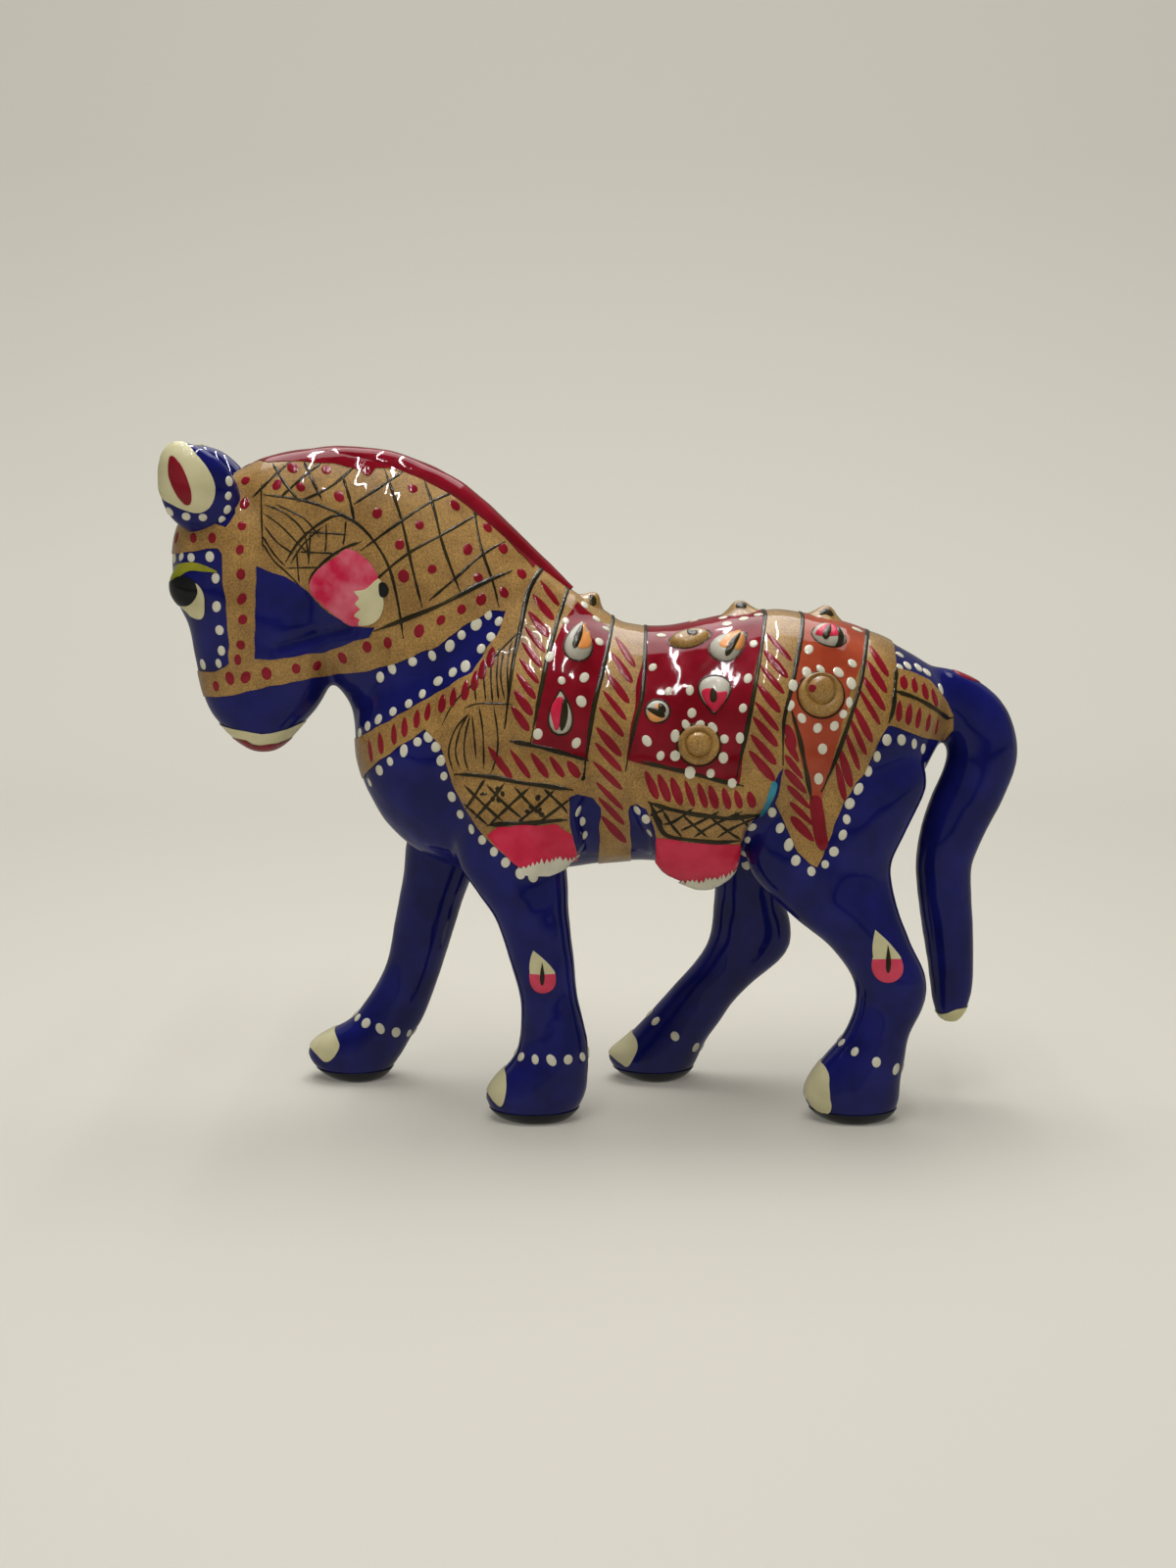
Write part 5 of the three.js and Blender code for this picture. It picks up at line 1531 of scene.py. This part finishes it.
def dots(places, normals, radius, height=WHITE_HEIGHT):
    """Low round domes at places on the skin, each a little larger, smaller or longer than the next."""
    count = len(places)
    reference = np.where(np.abs(normals[:, 2:]) > STEEP, (1.0, 0, 0), (0, 0, 1.0))
    up = unit(reference - normals * np.sum(reference * normals, axis=1, keepdims=True))
    right = np.cross(up, normals)
    t = np.linspace(0, 2 * np.pi, DOT_SIDES, endpoint=False)[None, None, :, None]
    lean = hand.uniform(-DOT_LEAN, DOT_LEAN, (count, 1))
    narrow = (right * np.cos(lean) + up * np.sin(lean)) * hand.uniform(*DOT_WIDTHS, (count, 1))
    long = (up * np.cos(lean) - right * np.sin(lean)) * hand.uniform(*DOT_LENGTHS, (count, 1))
    across = np.cos(t) * narrow[:, None, None] + np.sin(t) * long[:, None, None]
    sizes = radius * hand.uniform(*DOT_SIZES, count)[:, None, None, None]
    lift = paint_heights(places, normals)[:, None]
    rise = np.where(np.isnan(DOT_RISE), RIBBON_ROOT, lift + DOT_RISE * height)[:, :, None, None]
    domes = sizes * DOT_SHARE[None, :, None, None] * across
    points = places[:, None, None] + domes + rise * normals[:, None, None]
    faces = facing_out(points[0].reshape(-1, 3), tube_faces(len(DOT_SHARE), DOT_SIDES))
    return joined([(dot, faces) for dot in points])


def anklet(side, rows, ring_height, ring_slope, count):
    """Places round a leg where rays towards its middle meet the skin, in a plane that slopes along x."""
    z, front, rear, out, _ = np.array(rows)[::-1].T
    middle_x = np.interp(ring_height, z, (front + rear) / 2)
    middle = vectors(middle_x, side * np.interp(ring_height, z, out), ring_height) - DRAWING_SHIFT
    turn = np.linspace(0, 2 * np.pi, count, endpoint=False)
    outward = unit(vectors(np.cos(turn), np.sin(turn), ring_slope * np.cos(turn)))
    hits = [skin_tree.ray_cast(middle + ANKLET_REACH * ray, -ray) for ray in outward]
    return np.array([hit[0] for hit in hits]), np.array([hit[1] for hit in hits])


def dots_on_both_sides(pixels, radius, height=WHITE_HEIGHT, tree=skin_tree):
    """Dots at pixels of the near side and at their mirror images."""
    near = drape(pixels, tree)
    return [dots(*side, radius, height) for side in (near, settle(near[0] * MIRROR, tree))]


def surface_tree(surfaces):
    """A search tree over several surfaces."""
    points, faces = joined(surfaces)
    return BVHTree.FromPolygons(points.tolist(), faces)


def mesh_surface(mesh):
    """Points in millimetres and triangles of a mesh."""
    mesh.calc_loop_triangles()
    triangles = column(mesh.loop_triangles, "vertices", 3, int)
    return column(mesh.vertices, "co", 3) / MM, triangles.tolist()


panel_tree = surface_tree([mesh_surface(piece.data) for piece in panels])
ear_tree = surface_tree(ear_surfaces)
white_surfaces = dots_on_both_sides(WHITE_DOTS, WHITE_RADIUS)
white_surfaces += dots_on_both_sides(EAR_DOTS, WHITE_RADIUS, tree=ear_tree)
for node, ring in ANKLETS.items():
    white_surfaces.append(dots(*anklet(*LEGS[node], *ring), ANKLET_RADIUS))
smooth_piece("white_dots", joined(white_surfaces), ivory)
red_surfaces = dots_on_both_sides(RED_DOTS, RED_RADIUS, RED_HEIGHT)
smooth_piece("red_dots", joined(red_surfaces), brush_red)
rosette_surfaces = dots_on_both_sides(ROSETTES, ROSETTE_RADIUS, RED_HEIGHT)
smooth_piece("black_rosettes", joined(rosette_surfaces), brush_black)

# Painted shapes: the ears' cream faces, the petals below the mane, the coloured faces of the studs,
# teardrops on the legs and a few stray daubs. Each is a low coat of paint.
petal_pink = paint("petal_pink", (206, 24, 70), (226, 128, 146), roughness=0.16, relief=0.04)
rose = paint("rose_enamel", (204, 58, 84), (222, 80, 104))
turquoise = paint("turquoise_smear", (16, 96, 128), (58, 150, 172), roughness=0.2)
flame_orange = paint("flame_orange", (222, 140, 72), (240, 170, 100), roughness=0.16)
PATCH_HEIGHT = 0.12
PATCH_ROOT = -0.12
PATCH_SIDES = 40
PATCH_SHARE = np.array([1, 1, 0.94, 0.78, 0.5, 0.25, 0.03])
PATCH_RISE = np.array([np.nan, 0.3, 0.85, 1, 1, 1, 1])
EAR_PLANE = -8.5
EAR_FACE_LIFT = 0.2
EAR_FACE = [
    (175, 449), (162, 460), (154, 478), (155, 495), (164, 507), (174, 513), (186, 519), (201, 523),
    (212, 519), (218, 509), (219, 495), (212, 479), (200, 464), (188, 452),
]
EAR_LENS = [(174, 467), (180, 468), (188, 480), (195, 500), (195, 513), (189, 514), (180, 503), (173, 485)]
PETAL = [
    (316, 602), (318, 590), (327, 579), (342, 569), (354, 560), (366, 565), (379, 576), (386, 589),
    (390, 602), (392, 617), (388, 630), (379, 637), (364, 639), (353, 635), (340, 626), (325, 613),
]
PETAL_TIP = [
    (361, 603), (373, 601), (387, 590), (390, 602), (392, 617), (388, 630), (379, 637), (366, 638),
    (368, 632), (361, 628), (368, 622), (362, 616), (367, 610),
]
PETAL_SPOT = [(387, 596), (393, 595), (397, 602), (394, 609), (388, 608)]
TEAL_SMEAR = [
    (789, 797), (793, 801), (789, 814), (781, 828), (776, 833), (775, 830), (781, 818), (785, 806),
]
CROUP_STROKE = [
    (827, 812), (837, 812), (841, 830), (843, 846), (845, 862), (839, 868), (833, 862), (830, 850),
    (827, 830),
]
# paint of each coloured face on a stud, and its outline
STUD_FACES = [
    (flame_orange, [(597, 635), (602, 645), (603, 658), (596, 662), (590, 660), (591, 650), (594, 641)]),
    (pink, [(567, 713), (574, 712), (573, 728), (571, 741), (567, 745), (563, 733), (562, 721)]),
    (flame_orange, [(756, 641), (744, 646), (734, 657), (741, 661), (749, 655), (754, 648)]),
    (flame_orange, [(758, 646), (760, 658), (754, 663), (749, 661), (754, 651)]),
    (flame_orange, [(661, 727), (669, 727), (678, 731), (673, 736), (664, 736)]),
    (flame_orange, [(671, 718), (675, 722), (674, 726), (667, 724)]),
    (pink, [(716, 706), (724, 702), (733, 706), (742, 706), (738, 719), (731, 727), (722, 720)]),
    (pink, [
        (832, 647), (836, 641), (843, 637), (851, 637), (856, 642), (858, 647), (850, 649), (840, 649),
    ]),
    (brush_red, [(826, 700), (830, 698), (833, 702), (830, 706), (826, 705)]),
]
# black slits, from the thin end to the full one
STUD_SLITS = [
    [(594, 638), (590, 649), (586, 661)],
    [(576, 710), (576, 727), (573, 745)],
    [(755, 646), (748, 656), (741, 669)],
    [(661, 723), (669, 726), (678, 731)],
    [(673, 718), (675, 722), (677, 728)],
    [(727, 702), (728, 709), (728, 717)],
    [(847, 638), (844, 645), (842, 652)],
    [(854, 639), (858, 648), (857, 656), (852, 661)],
    [(702, 643), (706, 646), (711, 644)],
    [(751, 620), (756, 617), (761, 620)],
    [(837, 627), (843, 624), (850, 628)],
    [(603, 607), (605, 612), (604, 618)],
]
SLIT_STATIONS = 12
SLIT_WIDTH = 1.1
# height, share of the way to the rear edge, lean in degrees, length and width of each leg's teardrop
TEARDROPS = {"front": (22.9, 0.5, 22, 6.4, 4.2), "hind": (25.3, 0.64, 26, 7.8, 4.8)}
CUP_DROP = 0.05  # the pink cup ends this share of the length below the middle
SLIT_SHARES = (0.08, 0.27)
TAIL_SPOT_PLACE = 55.9
TAIL_SPOT_SIZES = (2.6, 2.2)

relief_tree = surface_tree([(skin_points, skin_faces.tolist()), *stud_surfaces, *ear_surfaces])


def drawn_in(edge):
    """Rings from an edge in to its middle."""
    middle = edge.mean(0)
    return middle + PATCH_SHARE[:, None, None] * (edge - middle)


def patch(rings, lift=0.0, tree=relief_tree):
    """A coat of paint: rings of places laid on a surface and raised."""
    places, normals = settle(rings, tree)
    rise = np.where(np.isnan(PATCH_RISE), PATCH_ROOT, lift + PATCH_RISE * PATCH_HEIGHT)
    return closed_loft(places + rise[:, None, None] * normals)


def patches_on_both_sides(pixels, lift=0.0, tree=relief_tree, plane=0.0):
    """A painted shape inside a drawn outline of the near side, and its mirror image."""
    closed = np.concatenate([smooth_rows(pixels, CURVE_STEPS, closed=True), pixels[:1]])
    rings = drawn_in(resampled(closed, PATCH_SIDES + 1)[:-1])
    places = drape(rings.reshape(-1, 2), tree, plane)[0].reshape(*rings.shape[:2], 3)
    return [patch(places * flip, lift, tree) for flip in FLIPS.values()]


def leg_edge(node, height, share, lean, shape):
    """The edge of a shape on the outside of a leg, given in millimetres behind and above its middle. The
    part above the middle leans forward."""
    side, rows = LEGS[node]
    z, front, rear, _, _ = np.array(rows)[::-1].T
    middle_x = np.interp(height, z, front + share * (rear - front))
    outside = vectors(middle_x, side * FAR, height) - DRAWING_SHIFT
    place = np.array(skin_tree.ray_cast(outside, (0, -side, 0))[0])
    behind, up = shape.T
    return place + vectors(behind - math.tan(math.radians(lean)) * np.maximum(up, 0), 0, up)


painted = {
    cream: patches_on_both_sides(EAR_FACE, EAR_FACE_LIFT, ear_tree, EAR_PLANE),
    brush_red: patches_on_both_sides(EAR_LENS, EAR_FACE_LIFT + PATCH_HEIGHT, ear_tree, EAR_PLANE),
    iris_black: patches_on_both_sides(PETAL_SPOT, ENAMEL_HEIGHT + PATCH_HEIGHT),
    petal_pink: patches_on_both_sides(PETAL, ENAMEL_HEIGHT),
    turquoise: patches_on_both_sides(TEAL_SMEAR, GOLD_HEIGHT),
    flame_orange: [],
    pink: [],
    rose: [],
    brush_black: [],
}
painted[brush_red] += patches_on_both_sides(CROUP_STROKE, GOLD_HEIGHT)
painted[cream] += patches_on_both_sides(PETAL_TIP, ENAMEL_HEIGHT + PATCH_HEIGHT / 2)
for finish, outline in STUD_FACES:
    painted[finish] += patches_on_both_sides(outline)
drop = stud_edge("leaf")
for node in LEGS:
    height, share, lean, length, width = TEARDROPS[node.split("_")[0]]
    whole = drop * (width / 2, length / 2)
    cup = np.minimum(whole, (width, -CUP_DROP * length))
    slit = drop * (SLIT_SHARES[0] * width, SLIT_SHARES[1] * length) - (0, CUP_DROP * length)
    coats = ((cream, whole, lean, 0), (rose, cup, 0, 0.5), (brush_black, slit, 0, 1))
    for finish, shape, tilt, lift in coats:
        rings = drawn_in(leg_edge(node, height, share, tilt, shape))
        painted[finish].append(patch(rings, lift * PATCH_HEIGHT))
turn = np.linspace(0, 2 * np.pi, PATCH_SIDES, endpoint=False)
tail_top = skin_tree.ray_cast((TAIL_SPOT_PLACE, 0, FAR), (0, 0, -1))[0]
spot_x, spot_y = TAIL_SPOT_SIZES
tail_edge = np.array(tail_top) + vectors(spot_x * np.cos(turn), spot_y * np.sin(turn), 0)
painted[brush_red].append(patch(drawn_in(tail_edge)))
slit_widths = SLIT_WIDTH * stroke_width(SLIT_STATIONS)[None]
for slit in STUD_SLITS:
    places, _ = drape(resampled(smooth_rows(slit, CURVE_STEPS), SLIT_STATIONS), relief_tree)
    for flip in FLIPS.values():
        run = settle((places * flip)[None], relief_tree)
        painted[brush_black].append(ribbons(*run, slit_widths, lift=PATCH_HEIGHT))
for finish, surfaces in painted.items():
    smooth_piece(f"{finish.name}_shapes", joined(surfaces), finish)
